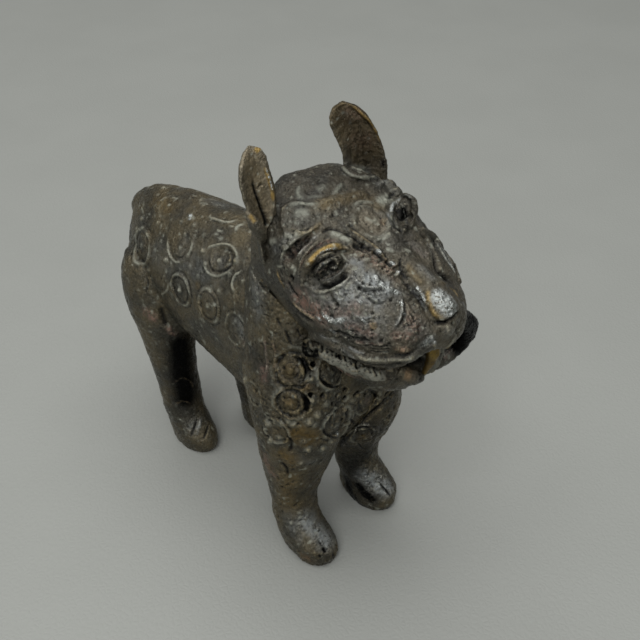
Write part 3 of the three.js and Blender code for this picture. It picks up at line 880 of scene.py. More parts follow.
@dataclass
class Skin:
    """One continuous skin of metal, and all that is worked into it."""

    name: str
    nodes: Sequence[str]
    material: bpy.types.Material
    slot: str = "bronze"
    filled: Sequence[str] = ()
    remade: Sequence[str] = ()  # nodes whose shape the rolls give instead
    coarse: float = 0.7  # mm, the voxels of the bare form
    fine: float = 0.42  # mm, the voxels once threads are on it
    ease: int = 10  # rounds of smoothing of the bare form
    grit: float = 1.0  # how uneven the casting is
    rolls: Sequence[Roll] = ()
    marks: Sequence[Mark] = ()
    rosettes: Sequence[Rosette] = ()
    studs: Sequence[Stud] = ()
    nudges: Sequence[Nudge] = ()
    closing: float = SEAM_GROWTH  # mm, how wide a seam between the nodes is filled from each side
    seed: int = 1
    search: Optional[BVHTree] = field(default=None, init=False)  # the surface so far, for sight lines

    def cast(self, look: Look, a: float, b: float) -> Optional[tuple[Vector, Vector]]:
        """The place and outward direction where a sight line meets the surface, if it does."""
        start, way = sight(look, a, b)
        place, outward, _, _ = self.search.ray_cast(start, way)
        if place is not None:
            return place, outward
        steps = [start + way * (FAR * 2 * k / SIGHT_STEPS) for k in range(SIGHT_STEPS)]
        near = min((self.search.find_nearest(step) for step in steps), key=lambda hit: hit[3])
        return (near[0], near[1]) if near[3] < NEAR_ENOUGH else None

    def placed(self, things: Sequence[Rosette | Stud]) -> list[Spot]:
        """Rosettes or studs with their place and outward direction, those that meet the surface."""
        hits = [(thing, self.cast(thing.look, thing.a, thing.b)) for thing in things]
        missed = [(thing.a, thing.b) for thing, hit in hits if hit is None]
        if missed:
            log.warning("%s: no surface at %s", self.name, missed)
        return [(thing, *hit) for thing, hit in hits if hit]

    def lines(self, path: Sequence[tuple[float, float]], both: bool = False) -> list[np.ndarray]:
        """A path over the surface, as even points in metres.

        Args:
            path: the picture points it goes through.
            both: whether it is wanted on the other side of the head too.

        Returns:
            A line for each side, or none where the path misses the surface.
        """
        hits = [self.cast(Look.PICTURE, a, b) for a, b in path]
        missed = [spot for spot, hit in zip(path, hits) if hit is None]
        if missed:
            log.warning("%s: no surface at %s", self.name, missed)
        seen = np.array([tuple(hit[0]) for hit in hits if hit is not None])
        if not len(seen):
            return []
        sides = [seen, mirrored(seen)] if both else [seen]
        return [curve_through(self.snapped(side), STEP_MM) for side in sides]

    def snapped(self, line: np.ndarray) -> np.ndarray:
        """Points moved to the nearest place on the surface."""
        return np.array([tuple(self.search.find_nearest(Vector(p))[0]) for p in line])

    def build(self) -> bpy.types.Object:
        """Fuses the form, works it, stores what the material reads and hands the piece over.

        Returns:
            The skin's object.
        """
        shapes = [grown_copy(node, self.closing) for node in self.nodes]
        shapes += [core_within(node) for node in self.filled]
        bare = recast(joined(shapes), self.coarse)
        bare.relax(self.ease)
        bare.push(np.full(len(bare.points), SEAM_GROWTH - self.closing))
        self.search = bare.tree()
        self.nudge(bare)
        spots = self.placed(self.rosettes)
        added = self.threads(bare.mesh, spots) + self.studded() + self.rolled()
        wax = recast(joined([bare.mesh, *added]), self.fine)
        wax.relax(1)
        beads = self.placed(self.studs)
        self.search = wax.tree()
        self.work(wax, spots, beads)
        return self.finish(wax)

    def nudge(self, bare: Wax) -> None:
        """Moves the bare form by its nudges, all placed before any of them acts."""
        moves = np.zeros_like(bare.points)
        for nudge in self.nudges:
            hit = self.cast(Look.PICTURE, nudge.a, nudge.b)
            if hit is None:
                log.warning("%s: no surface at %s", self.name, (nudge.a, nudge.b))
                continue
            apart = np.linalg.norm(bare.points - np.array(hit[0]), axis=1) / (nudge.reach * MM)
            moves += np.outer(1 - smooth_step(apart, 0.0, 1.0), nudge.move) * MM
        bare.points += moves
        self.search = bare.tree()

    def threads(self, bare: bpy.types.Mesh, spots: list[Spot]) -> list[bpy.types.Mesh]:
        """The rosettes' threads and beads, laid on the bare form."""
        surface = object_from("surface", bare)
        made = []
        for style, layers in RING_LAYERS.items():
            chosen = [spot for spot in spots if spot[0].style is style and spot[0].faint < WORN_AWAY]
            for layer in layers if chosen else ():
                tree = laid_rings(f"{self.name}_{style.name.lower()}", layer.beaded)
                inputs = {
                    "Surface": surface,
                    "Share": layer.share,
                    "Thickness": layer.thickness * MM,
                    "Count": layer.count,
                    "Seed": self.seed,
                    "Finish": self.material,
                }
                made.append(tree.run(points_mesh(chosen), inputs))
        bpy.data.objects.remove(surface)
        return made

    def studded(self) -> list[bpy.types.Mesh]:
        """The studs, half sunk into the bare form."""
        spots = self.placed(self.studs)
        if not spots:
            return []
        inputs = {"Seed": self.seed, "Finish": self.material}
        return [studded(f"{self.name}_studs").run(points_mesh(spots), inputs)]

    def rolled(self) -> list[bpy.types.Mesh]:
        """The rolls laid on the bare form, as tubes."""
        made = []
        for roll in self.rolls:
            for line in self.lines(roll.path, roll.both):
                share = np.linspace(0, len(roll.radii) - 1, len(line))
                radii = np.interp(share, range(len(roll.radii)), roll.radii) * MM
                outward = np.array([tuple(self.search.find_nearest(Vector(p))[1]) for p in line])
                lifted = line + outward * (radii * (1 - 2 * roll.sink))[:, None]
                made.append(tube(lifted, radii))
        return made

    def work(self, wax: Wax, spots: list[Spot], beads: list[Spot]) -> None:
        """Works the marks, rosettes and casting texture into the surface, and stores its stains, painted
        shade and highlights among them.

        Args:
            wax: the fused surface.
            spots: the rosettes, each with its place and the surface's direction there.
            beads: the studs, in the same way.
        """
        count = len(wax.points)
        height = np.zeros(count)
        crust = np.full(count, PLAIN_CRUST)
        stains = {stain: np.zeros(count) for stain in STAINS}
        for mark in self.marks:
            for line in self.lines(mark.path):
                index, off, share = self.along(wax.points, line, mark.width)
                fade = np.cos(off * math.pi / 2) ** 2
                if mark.taper and len(line) > 2:
                    fade = fade * np.clip(ENDS * np.minimum(share, 1 - share), THINNEST, 1)
                height[index] += mark.rise * fade
                crust[index] = np.maximum(crust[index], mark.rough * fade)
                for stain, layer in stains.items():
                    layer[index] = np.maximum(layer[index], getattr(mark, stain) * fade)
        for spot in spots:
            self.press_rosette(wax.points, spot, height, stains)
        for stud, place, _ in beads:
            middle = np.array([tuple(place)])
            index, off, _ = self.along(wax.points, middle, DIRT_RADII * stud.radius)
            stains["soil"][index] = np.maximum(stains["soil"][index], stud.soil * (1 - off**2))
        height += self.grit * self.casting(wax.points, crust)
        holes = HOLES.over(wax.points, self.seed) * smooth_step(crust, 0.65, 0.9)
        height -= HOLE_MM * holes
        stains["soot_and_shade"] = np.maximum(stains["soot_and_shade"], 0.6 * holes)
        stains["soil"] = np.maximum(stains["soil"], 0.8 * FLECKS.over(wax.points, self.seed))
        wax.push(height)
        wax.keep("crust", crust)
        wax.keep("fine", np.clip(self.relief(wax, FINE_ROUNDS) / FINE_MM, -1, 1))
        wax.keep("broad", np.clip(self.relief(wax, BROAD_ROUNDS) / BROAD_MM, -1, 1))
        for stain, layer in stains.items():
            wax.keep(stain, layer)

    @staticmethod
    def along(points: np.ndarray, line: np.ndarray, width: float) -> tuple[np.ndarray, ...]:
        """Which corners a line touches.

        Args:
            points: the corners, in metres.
            line: the line's points, in metres.
            width: how far the line reaches, in millimetres.

        Returns:
            The corners' numbers, how far off each is as a share of the width, and where along
            the line it is, from 0 to 1.
        """
        reach = width * MM
        least = np.full(len(points), np.inf)
        where = np.zeros(len(points))
        batch = 12  # points of the line, few enough for the box round them to leave most corners out
        for first in range(0, len(line), batch):
            part = line[first : first + batch]
            inside = np.all((points > part.min(0) - reach) & (points < part.max(0) + reach), axis=1)
            index = np.nonzero(inside)[0]
            if not len(index):
                continue
            apart = np.linalg.norm(points[index][:, None] - part[None], axis=2)
            nearest = apart.min(axis=1)
            closer = nearest < least[index]
            least[index[closer]] = nearest[closer]
            where[index[closer]] = first + apart.argmin(axis=1)[closer]
        touched = np.nonzero(least < reach)[0]
        return touched, least[touched] / reach, where[touched] / max(1, len(line) - 1)

    def press_rosette(
        self, points: np.ndarray, spot: Spot, height: np.ndarray, stains: dict[str, np.ndarray]
    ) -> None:
        """Presses a rosette's grooves, raises its boss, leaves dirt in it and darkens its grooves towards
        black.

        Args:
            points: the corners.
            spot: the rosette, its middle and the surface's direction there.
            height: the moves so far, which change.
            stains: the stains so far, which change.
        """
        rosette, place, outward = spot[0], np.array(spot[1]), np.array(spot[2])
        away = points - place
        close = np.nonzero(np.linalg.norm(away, axis=1) < PRESS_RADII * rosette.radius * MM)[0]
        away = away[close]
        flat = away - np.outer(away @ outward, outward)
        share = np.linalg.norm(flat, axis=1) / (rosette.radius * MM)
        share = share + WAVER * grain(points[close], 3, self.seed)
        press = PRESSES[rosette.style]

        def bands(layers: Sequence[Band]) -> np.ndarray:
            """The sum of some bands."""
            offs = [(share - band.share) / band.width for band in layers]
            return sum(band.much * np.exp(-(off**2)) for band, off in zip(layers, offs))

        kept = 1 - rosette.faint
        whole = UNBROKEN.over(points[close], self.seed)
        height[close] += kept * bands(press.relief)
        for stain, layers in press.stains.items():
            amount = kept * bands(layers) * (whole if stain == "soil" else 1.2 - whole)
            stains[stain][close] = np.maximum(stains[stain][close], amount)

    def casting(self, points: np.ndarray, crust: np.ndarray) -> np.ndarray:
        """The unevenness of hand-worked wax and of the casting, in millimetres.

        Args:
            points: the corners.
            crust: how rough each is.

        Returns:
            The moves.
        """
        waves = WAVES.over(points, self.seed) + RIPPLES.over(points, self.seed)
        pits = PIT_MM * PITS.over(points, self.seed)
        ridges = 1 - np.abs(grain(points, RIDGE_SIZE, self.seed + RIDGE_SEED)) * RIDGE_SHARP
        return waves - pits + crust * (LUMPS.over(points, self.seed) + RIDGE_MM * ridges)

    @staticmethod
    def relief(wax: Wax, rounds: int) -> np.ndarray:
        """How far each corner stands out from the surface round it, in millimetres."""
        away = wax.points - wax.blurred(wax.points, rounds)
        return np.sum(away * wax.normals(), axis=1) / MM

    def finish(self, wax: Wax) -> bpy.types.Object:
        """Thins the faces to the limit, dresses the piece and puts it in the CAD nodes' place."""
        piece = object_from(self.name, wax.mesh)
        triangles = 2 * len(wax.mesh.polygons)
        if triangles > MOST_TRIANGLES:
            thin = piece.modifiers.new("thin", "DECIMATE")
            thin.ratio = MOST_TRIANGLES / triangles
            thin.use_collapse_triangulate = True
            piece = object_from(self.name, settled(piece))
        piece.data.shade_smooth()
        piece.data.materials.clear()
        piece.data.materials.append(self.material)
        log.info("%s: %d triangles", self.name, sum(len(f.vertices) - 2 for f in piece.data.polygons))
        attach(piece, BODY)
        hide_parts(*self.nodes, *self.remade)
        return piece


class Shader(Graph):
    """A material's node tree."""

    def __init__(self, name: str) -> None:
        """Starts a material with one shader."""
        self.material = bpy.data.materials.new(name)
        self.material.use_nodes = True
        super().__init__(self.material.node_tree)
        self.surface = self.tree.nodes["Principled BSDF"]
        self.place = self.add("ShaderNodeTexCoord").outputs["Object"]

    def layer(self, name: str) -> bpy.types.NodeSocket:
        """One of the numbers that the skin carries."""
        return self.add("ShaderNodeAttribute", attribute_name=name).outputs["Fac"]

    def noise(self, size: float, detail: float = 3.0, rough: float = 0.55) -> bpy.types.NodeSocket:
        """Noise of a size in millimetres, from 0 to 1."""
        values = {"Vector": self.place, "Scale": 1 / (size * MM), "Detail": detail, "Roughness": rough}
        return self.add("ShaderNodeTexNoise", values).outputs[0]

    def ramp(
        self, value: object, low: float, high: float, start: float = 0, end: float = 1
    ) -> bpy.types.NodeSocket:
        """An eased ramp from start, where a value is low, to end, where it is high."""
        values = {"Value": value, "From Min": low, "From Max": high, "To Min": start, "To Max": end}
        return self.add("ShaderNodeMapRange", values, interpolation_type="SMOOTHSTEP").outputs[0]

    def math(self, operation: str, first: object, second: object = 0.0) -> bpy.types.NodeSocket:
        """One sum on numbers."""
        return self.add("ShaderNodeMath", {0: first, 1: second}, operation=operation).outputs[0]

    def mix(self, share: object, first: object, second: object) -> bpy.types.NodeSocket:
        """A mix of two colours."""
        node = self.add("ShaderNodeMix", data_type="RGBA")
        colours = [socket for socket in node.inputs if socket.type == "RGBA"]
        self.feed(node.inputs[0], share)
        self.feed(colours[0], first)
        self.feed(colours[1], second)
        return next(socket for socket in node.outputs if socket.type == "RGBA")

    def bumpy(self, strength: float, depth: float, coarse: object, fine: object) -> None:
        """Roughens the surface by two noises, to a depth in millimetres."""
        height = self.math("ADD", coarse, self.math("MULTIPLY", fine, 0.4))
        values = {"Strength": strength, "Distance": depth * MM, "Height": height}
        bump = self.add("ShaderNodeBump", values)
        self.feed(self.surface.inputs["Normal"], bump.outputs["Normal"])


def tone(red: int, green: int, blue: int) -> tuple[float, float, float, float]:
    """A colour of the screen as a linear one."""
    def linear(value: int) -> float:
        share = value / 255
        return share / 12.92 if share <= 0.04045 else ((share + 0.055) / 1.055) ** 2.4
    return linear(red), linear(green), linear(blue), 1.0


@dataclass(frozen=True)
class Bronze:
    """Old bronze: a dark brown skin, rubbed to olive gold on its ridges, with pale dirt left in it.

    Its hollows are darkened towards black as painted shade, and painted grey glints lie on some ridges.
    """

    name: str
    dark: tuple = tone(62, 59, 49)
    brown: tuple = tone(92, 83, 62)
    ridge: tuple = tone(134, 122, 92)
    gold: tuple = tone(116, 95, 50)
    dirt: tuple = tone(150, 152, 138)
    black: tuple = tone(14, 14, 13)
    pink: tuple = tone(131, 106, 93)
    silver_glint: tuple = tone(176, 180, 176)
    bloom_and_sheen: tuple = tone(136, 140, 139)
    roughness: float = 0.3
    metallic: float = 0.6

    def material(self) -> bpy.types.Material:
        """Makes the material."""
        s = Shader(self.name)
        fine, broad = s.layer("fine"), s.layer("broad")
        soil, wear, soot_and_shade, rust, silver_glint, dust_and_sheen = (s.layer(stain) for stain in STAINS)
        patches, specks, grit = s.noise(9), s.noise(1.6, 4), s.noise(0.5, 3)
        colour = s.mix(s.ramp(patches, 0.35, 0.65), self.dark, self.brown)
        # grey bloom of dust, with painted sheen where it lies on the muzzle, the back and the right ear
        bloom_and_sheen = s.math("MULTIPLY", dust_and_sheen, s.ramp(specks, 0.3, 0.65, 0.35, 1.0))
        colour = s.mix(bloom_and_sheen, colour, self.bloom_and_sheen)
        rusty = s.math("MULTIPLY", rust, s.ramp(specks, 0.38, 0.58, 0.15, 1.0))
        colour = s.mix(rusty, colour, self.pink)
        speckled = s.ramp(s.layer("crust"), 0.6, 1.3, 0.18, 0.46)
        # ridges rubbed to olive gold, and under the bloom painted grey glints on them
        ridge = s.math("ADD", s.ramp(fine, 0.25, 0.9), s.ramp(broad, 0.35, 1.0, 0.0, 0.7))
        rubbed_and_glinting = s.math("MINIMUM", s.math("MULTIPLY", ridge, s.ramp(specks, 0.35, 0.65, 0.1, 0.75)), 1.0)
        colour = s.mix(rubbed_and_glinting, colour, s.mix(bloom_and_sheen, self.ridge, self.silver_glint))
        dusted = s.math("MULTIPLY", speckled, s.ramp(s.noise(0.55, 2), 0.53, 0.66))
        colour = s.mix(dusted, colour, self.dirt)
        dotted = s.math("MULTIPLY", speckled, s.ramp(s.noise(0.7, 3), 0.46, 0.33, 0.0, 1.7))
        colour = s.mix(dotted, colour, self.black)
        colour = s.mix(s.math("MULTIPLY", wear, s.ramp(specks, 0.3, 0.6, 0.55, 1.0)), colour, self.gold)
        # painted shade: hollows, fine and broad, darkened towards black
        hollow_shade = s.math("ADD", s.ramp(fine, -0.15, -0.8, 0.0, 0.85), s.ramp(broad, -0.3, -1.0, 0.0, 0.5))
        colour = s.mix(s.math("MINIMUM", hollow_shade, 0.9), colour, self.black)
        filled = s.math("MULTIPLY", s.ramp(broad, -0.1, -0.7), s.ramp(specks, 0.52, 0.68, 0.0, 0.5))
        pale = s.math("MAXIMUM", filled, s.math("MULTIPLY", soil, s.ramp(grit, 0.3, 0.6, 0.5, 1.0)))
        colour = s.mix(s.math("MULTIPLY", pale, 0.85), colour, self.dirt)
        # painted highlights in bright grey, and the nose's pale oval
        pitted = s.math("MULTIPLY", silver_glint, s.ramp(s.noise(0.8, 2), 0.4, 0.5, 0.05, 1.0))
        colour = s.mix(pitted, colour, self.silver_glint)
        # black where soot lies and where shade is painted, less on ridges
        held = s.math("MULTIPLY", soot_and_shade, s.ramp(fine, 0.15, 0.8, 1.0, 0.6))
        colour = s.mix(held, colour, self.black)
        s.feed(s.surface.inputs["Base Color"], colour)
        rough = s.ramp(specks, 0.3, 0.7, self.roughness - 0.14, self.roughness + 0.14)
        rough = s.math("SUBTRACT", rough, s.math("MULTIPLY", rubbed_and_glinting, 0.14))
        s.feed(s.surface.inputs["Roughness"], s.math("ADD", rough, s.math("MULTIPLY", pale, 0.25)))
        # fully metallic where black is painted, so that painted shade stays dark, and at the painted
        # highlights
        metal = s.math("SUBTRACT", self.metallic, s.math("MULTIPLY", pale, self.metallic))
        s.feed(s.surface.inputs["Metallic"], s.math("MAXIMUM", metal, s.math("MAXIMUM", soot_and_shade, pitted)))
        s.bumpy(1.0, 0.5, s.noise(0.9, 4, 0.65), s.noise(0.28, 2))
        return s.material


@dataclass(frozen=True)
class Mottled:
    """A rough natural surface of three tones, such as clay, rust, crust or rubbed metal."""

    name: str
    first: tuple
    second: tuple
    specks: tuple
    roughness: float
    metallic: float = 0.0
    grain_mm: float = 0.8

    def material(self) -> bpy.types.Material:
        """Makes the material."""
        s = Shader(self.name)
        broad, fine = s.noise(5 * self.grain_mm, 3), s.noise(self.grain_mm, 4)
        colour = s.mix(s.ramp(broad, 0.35, 0.65), self.first, self.second)
        colour = s.mix(s.ramp(fine, 0.56, 0.68), colour, self.specks)
        s.feed(s.surface.inputs["Base Color"], colour)
        rough = s.ramp(fine, 0.3, 0.7, self.roughness - 0.08, self.roughness + 0.08)
        s.feed(s.surface.inputs["Roughness"], rough)
        s.surface.inputs["Metallic"].default_value = self.metallic
        s.bumpy(0.6, 0.2, fine, s.noise(0.3, 2))
        return s.material


@dataclass
class Stage:
    """A pale leather ground, and plain soft light."""

    leather: tuple = tone(143, 145, 140)
    shade: tuple = tone(134, 136, 131)
    grain_mm: float = 1.9
    reach: float = 4.0  # metres, from the middle to the floor's edge
    glow: float = 0.11  # the strength of the surroundings

    def ground(self) -> bpy.types.Object:
        """A wide pale floor with a fine leather grain."""
        work = bmesh.new()
        bmesh.ops.create_grid(work, x_segments=1, y_segments=1, size=self.reach)
        mesh = bpy.data.meshes.new("leather_ground")
        work.to_mesh(mesh)
        work.free()
        floor = object_from("leather_ground", mesh)
        s = Shader("pale_leather")
        values = {"Vector": s.place, "Scale": 1 / (self.grain_mm * MM)}
        cells = s.add("ShaderNodeTexVoronoi", values, feature="DISTANCE_TO_EDGE")
        shaded = s.ramp(s.noise(60, 2), 0.3, 0.7, 0.0, 0.25)
        s.feed(s.surface.inputs["Base Color"], s.mix(shaded, self.leather, self.shade))
        s.surface.inputs["Roughness"].default_value = 0.62
        bump = s.add(
            "ShaderNodeBump",
            {"Strength": 0.25, "Distance": 0.2 * MM, "Height": s.ramp(cells.outputs[0], 0.0, 0.3)},
        )
        s.feed(s.surface.inputs["Normal"], bump.outputs["Normal"])
        mesh.materials.append(s.material)
        return floor

    def lamp(self, name: str, place: tuple, aim: tuple, side: float, power: float) -> None:
        """Adds a soft square lamp.

        Args:
            name: its name.
            place: where it is, in metres.
            aim: what it points at, in metres.
            side: its side in metres.
            power: its power in watts.
        """
        light = bpy.data.lights.new(name, "AREA")
        light.size = side
        light.energy = power
        holder = bpy.data.objects.new(name, light)
        holder.location = place
        holder.rotation_euler = (Vector(aim) - Vector(place)).to_track_quat("-Z", "Y").to_euler()
        bpy.context.scene.collection.objects.link(holder)

    def light(self) -> None:
        """Sets the lamps and the pale surroundings."""
        middle_of_it = (0, 0, 0.06)
        self.lamp("window", (-0.05, 0.2, 1.65), middle_of_it, 2.0, 32)
        self.lamp("fill", (-0.85, -0.65, 1.1), middle_of_it, 0.8, 10)
        self.lamp("spark", (-0.5, -0.25, 1.0), middle_of_it, 0.16, 0.8)
        world = bpy.data.worlds.new("surroundings")
        world.use_nodes = True
        around = world.node_tree.nodes["Background"]
        around.inputs["Color"].default_value = (1, 1, 1, 1)
        around.inputs["Strength"].default_value = self.glow
        bpy.context.scene.world = world


# The chest is partly torso and partly neck band, so both skins have what is worked into it.
CHEST_ROSETTES = [Rosette(337.5, 421, 5.8), Rosette(368, 402, 4.8, faint=0.25)]
CHEST_STUDS = [
    Stud(352, 400, 0.8), Stud(344, 410, 0.8), Stud(379, 392, 0.8),
    Stud(326, 404, 0.8), Stud(386, 387, 0.8),
]
CHEST_MARKS = [
    *(
        Mark([(x, y)], 1.15, -1.5, soot_and_shade=1.6)
        for x, y in (
            (310.5, 395), (337, 395.5), (345, 390), (345, 398), (355, 395), (358, 393), (313, 364),
            (323, 396), (366, 396), (341, 420), (392, 394), (352, 424), (365, 393), (333, 404),
        )
    ),
    Mark([(322, 425), (325, 433), (331, 437), (339, 437)], 0.8, -0.8, soot_and_shade=1.0),
    Mark([(349, 418), (352, 421), (355, 424)], 0.8, -0.5, soot_and_shade=1.0),
    # painted highlight: a white glint on the chest rosette's rim
    Mark([(337, 434)], 1.0, 0.4, silver_glint=3.0),
    Mark([(333, 427), (339, 424)], 0.7, 0.4, soil=0.8),
    Mark([(329, 431), (331, 420), (337, 411), (344, 406)], 0.8, -0.8, soot_and_shade=1.0),
    Mark([(324, 428), (328, 417), (335, 408), (343, 402)], 0.8, 0.5, soil=0.8),
    Mark([(347, 407), (347, 415), (343, 425), (337, 432)], 0.7, -0.6, soot_and_shade=0.8),
    Mark([(350, 409), (350, 417), (346, 428), (339, 437)], 0.8, 0.5, soil=0.8),
    Mark([(343, 407), (346, 412)], 1.2, 0.3, wear=0.7, rust=0.5),
    Mark([(362, 392), (367, 387), (374, 388), (380, 394), (381, 401)], 0.8, 0.5, soil=0.8),
    Mark([(366, 394), (371, 391), (376, 396), (375, 404), (369, 411)], 0.7, -0.6, soot_and_shade=0.9),
    Mark([(366, 398), (370, 403)], 1.8, rust=0.5),
    Mark([(383, 391), (388, 388)], 0.8, 0.4, wear=1.0),
    Mark([(384, 396), (391, 390), (396, 385)], 0.9, -0.8, soot_and_shade=1.1),
    Mark([(366, 388), (371, 383)], 0.7, 0.3, soil=0.7),
    Mark([(374, 391), (379, 399), (376, 407)], 0.7, 0.3, soil=0.6),
    Mark([(358, 398), (360, 408), (366, 414)], 0.7, -0.5, soot_and_shade=0.7),
    # painted shade: the chest darkened below the head
    Mark([(340, 385), (355, 400), (365, 405)], 9.0, soot_and_shade=0.2, rough=1.0, taper=False),
    Mark([(350, 388), (372, 388), (388, 384)], 5.0, soot_and_shade=0.4),
    Mark([(330, 368), (340, 374)], 5.5, soot_and_shade=0.55),
]


def rear_body(bronze: bpy.types.Material) -> Skin:
    """The torso, hind legs and tail."""
    left_flank = [
        Rosette(y, z, 5.0, look=Look.LEFT, faint=0.15 * ((y + z) % 3))
        for z, first in ((87, -2), (73, 6), (60, -4))
        for y in range(first, 50, 15)
    ]
    haunches = [Rosette(x, 66, 4.6, look=Look.BEHIND) for x in (-9, 9)]
    open_rings = (  # threads that aren't whole rings
        [(206, 252), (209, 247.5), (220, 244), (230, 245), (236, 252), (237.5, 262)],
        [(233, 268), (225, 273.5), (217, 276), (209, 273.5), (205, 267), (204, 259)],
        [(168, 239), (168, 248), (170, 256), (175.5, 262), (182, 262)],
        [(186, 257.5), (190.5, 250), (192.5, 241)],
        [(242, 270.5), (236, 274), (232.5, 280), (232, 287.5), (235, 293.5)],
        [(212, 217), (219, 220.5), (229, 222), (238, 219.5)],
        [(168, 282), (167, 290), (161, 295)],
    )
    return Skin(
        "rear_body", ("torso", "hindleg_right", "hindleg_left", "tail"), bronze, filled=("torso",),
        ease=14, grit=0.7, seed=3,
        nudges=[
            Nudge(208, 206, 18, (0, 0, -0.9)), Nudge(155, 187, 11, (0, 0, 0.6)),
            Nudge(127, 260, 16, (0.5, -0.3, 0)),
        ],
        rosettes=[
            Rosette(142, 246, 6.1), Rosette(180, 290, 5.2), Rosette(208, 306, 5.3),
            Rosette(236, 330, 5.4, faint=0.5), Rosette(157.5, 281, 3.8, faint=0.65),
            Rosette(169, 205, 4.4, faint=0.7), Rosette(186, 329, 4.4, faint=0.6),
            *left_flank, *haunches, *CHEST_ROSETTES,
        ],
        studs=[
            Stud(158, 223), Stud(161, 226), Stud(161, 241), Stud(166, 260, 0.9), Stud(149, 270),
            Stud(198, 276), Stud(219, 291, 0.7), Stud(203, 251, 0.7), Stud(206, 264),
            Stud(236, 261, 0.8), Stud(229, 274, 0.6), Stud(190, 216, 0.8), Stud(204, 235),
            Stud(163, 188), Stud(181, 222), Stud(194, 225), Stud(185, 234), Stud(203, 205),
            Stud(201, 200), Stud(217, 205), Stud(143, 219, 0.9), Stud(190, 266), *CHEST_STUDS,
        ],
        rolls=[Roll(path, (0.2, *[0.4] * (len(path) - 2), 0.2), 0.4) for path in open_rings],
        marks=[
            *(Mark(path, 0.6, 0.15, soil=1.0) for path in open_rings),
            Mark([(220, 249), (230, 251), (232, 262), (225, 270), (213, 270), (209, 260), (212, 251)],
                 0.8, -0.35, soot_and_shade=0.7),
            Mark([(175, 245), (175, 255), (181, 257.5), (186, 250)], 0.7, -0.3, soot_and_shade=0.6),
            Mark([(219, 260.5)], 1.2, 0.5, soil=1.1),
            Mark([(216, 257), (222, 257), (223, 264)], 0.6, -0.2, soot_and_shade=0.5),
            Mark([(180.5, 248)], 1.2, 0.5, soil=1.0), Mark([(242.5, 281)], 1.0, 0.4, soil=0.9),
            Mark([(180, 290)], 1.3, 0.4, soil=1.2), Mark([(143, 245)], 1.2, 0.4, soil=1.0),
            Mark([(234, 316), (240, 328), (243, 344)], 4.0, rough=1.5, dust_and_sheen=0.5),
            Mark([(243, 340), (246, 350)], 1.6, rust=0.9),
            Mark([(134, 238), (138, 231), (144, 229)], 1.4, 0.2, soil=0.7, rough=1.4),
            Mark([(235.5, 231), (238, 226), (244, 224)], 1.0, 0.3, soil=1.1),
            Mark([(146, 274), (148, 283), (146, 292)], 0.7, -0.3, soot_and_shade=0.7),
            Mark([(160, 307), (163, 318), (167, 327)], 1.6, -1.0, soot_and_shade=0.9),
            # painted highlight: pinkish brown beside the dark hip crease
            Mark([(143, 309), (150, 315), (157, 322)], 3.0, 0.4, rust=0.9),
            Mark([(167, 326), (172, 333), (179, 335)], 1.6, 0.5, rust=0.9),
            # painted shade: the hind leg's shaded front face, darkened to near black
            Mark([(180, 345), (182, 372), (186, 398)], 11.0, soot_and_shade=1.1, taper=False),
            Mark([(165, 200), (190, 205), (225, 205)], 12.0, soot_and_shade=0.2),
            Mark([(150, 240), (160, 260), (175, 262)], 9.0, dust_and_sheen=0.25),
            Mark([(172, 258), (200, 270), (226, 284)], 13.0, dust_and_sheen=0.3),
            Mark([(173, 384), (181, 378), (190, 381), (194, 390)], 0.9, 0.4, rust=0.7),
            Mark([(174, 405), (183, 401), (193, 404)], 0.9, 0.4, rust=0.6),
            Mark([(197, 420), (194, 428), (190, 437)], 0.8, -0.6, soot_and_shade=0.8),
            Mark([(209, 423), (207, 431), (203, 440)], 0.8, -0.6, soot_and_shade=0.8),
            Mark([(201, 417), (199, 427), (196, 436)], 1.0, 0.3, dust_and_sheen=0.8),
            Mark([(188, 424), (198, 432)], 5.0, dust_and_sheen=0.45),
            Mark([(201.5, 217), (203.5, 217.6)], 0.6, 0.3, soil=1.0),
            Mark([(217, 230), (221, 231)], 0.6, 0.3, soil=1.0),
            Mark([(160, 201), (167, 197)], 0.6, 0.3, soil=0.9),
            Mark([(172, 198), (178, 198)], 0.6, 0.3, soil=0.9),
            Mark([(190, 215.5)], 1.0, 0.2, silver_glint=3.0), Mark([(190, 219)], 0.7, 0.2, silver_glint=3.0),
            Mark([(169, 205)], 1.0, 0.4, soil=1.3),
            Mark([(208, 217), (214, 219), (222, 221)], 0.6, 0.3, soil=1.0),
            Mark([(199, 203), (206, 203)], 0.6, 0.2, soil=1.0),
            Mark([(201, 198), (206, 199)], 0.6, 0.2, soil=0.9),
            Mark([(215, 204), (221, 205)], 0.6, 0.2, soil=0.9),
            Mark([(142, 207), (144, 214)], 0.6, 0.2, soil=0.8),
            Mark([(161, 187), (166, 188)], 0.6, 0.2, soil=0.9),
            Mark([(212, 196), (218, 198)], 0.6, 0.2, soil=0.8),
            Mark([(229, 226), (234, 227)], 0.6, 0.2, soil=0.8),
            Mark([(150, 198), (170, 204), (186, 206)], 6.0, wear=0.3),
            Mark([(165, 207), (172, 211)], 3.5, wear=0.5),
            Mark([(195, 283), (200, 287)], 2.6, wear=0.45),
            # painted sheen on the top of the back
            Mark([(205, 197), (230, 208)], 4.0, dust_and_sheen=0.35),
            Mark([(143, 219)], 2.2, soot_and_shade=0.6),
            Mark([(208, 340), (206, 349)], 0.5, -0.4, soot_and_shade=0.8),
            *CHEST_MARKS,
        ],
    )


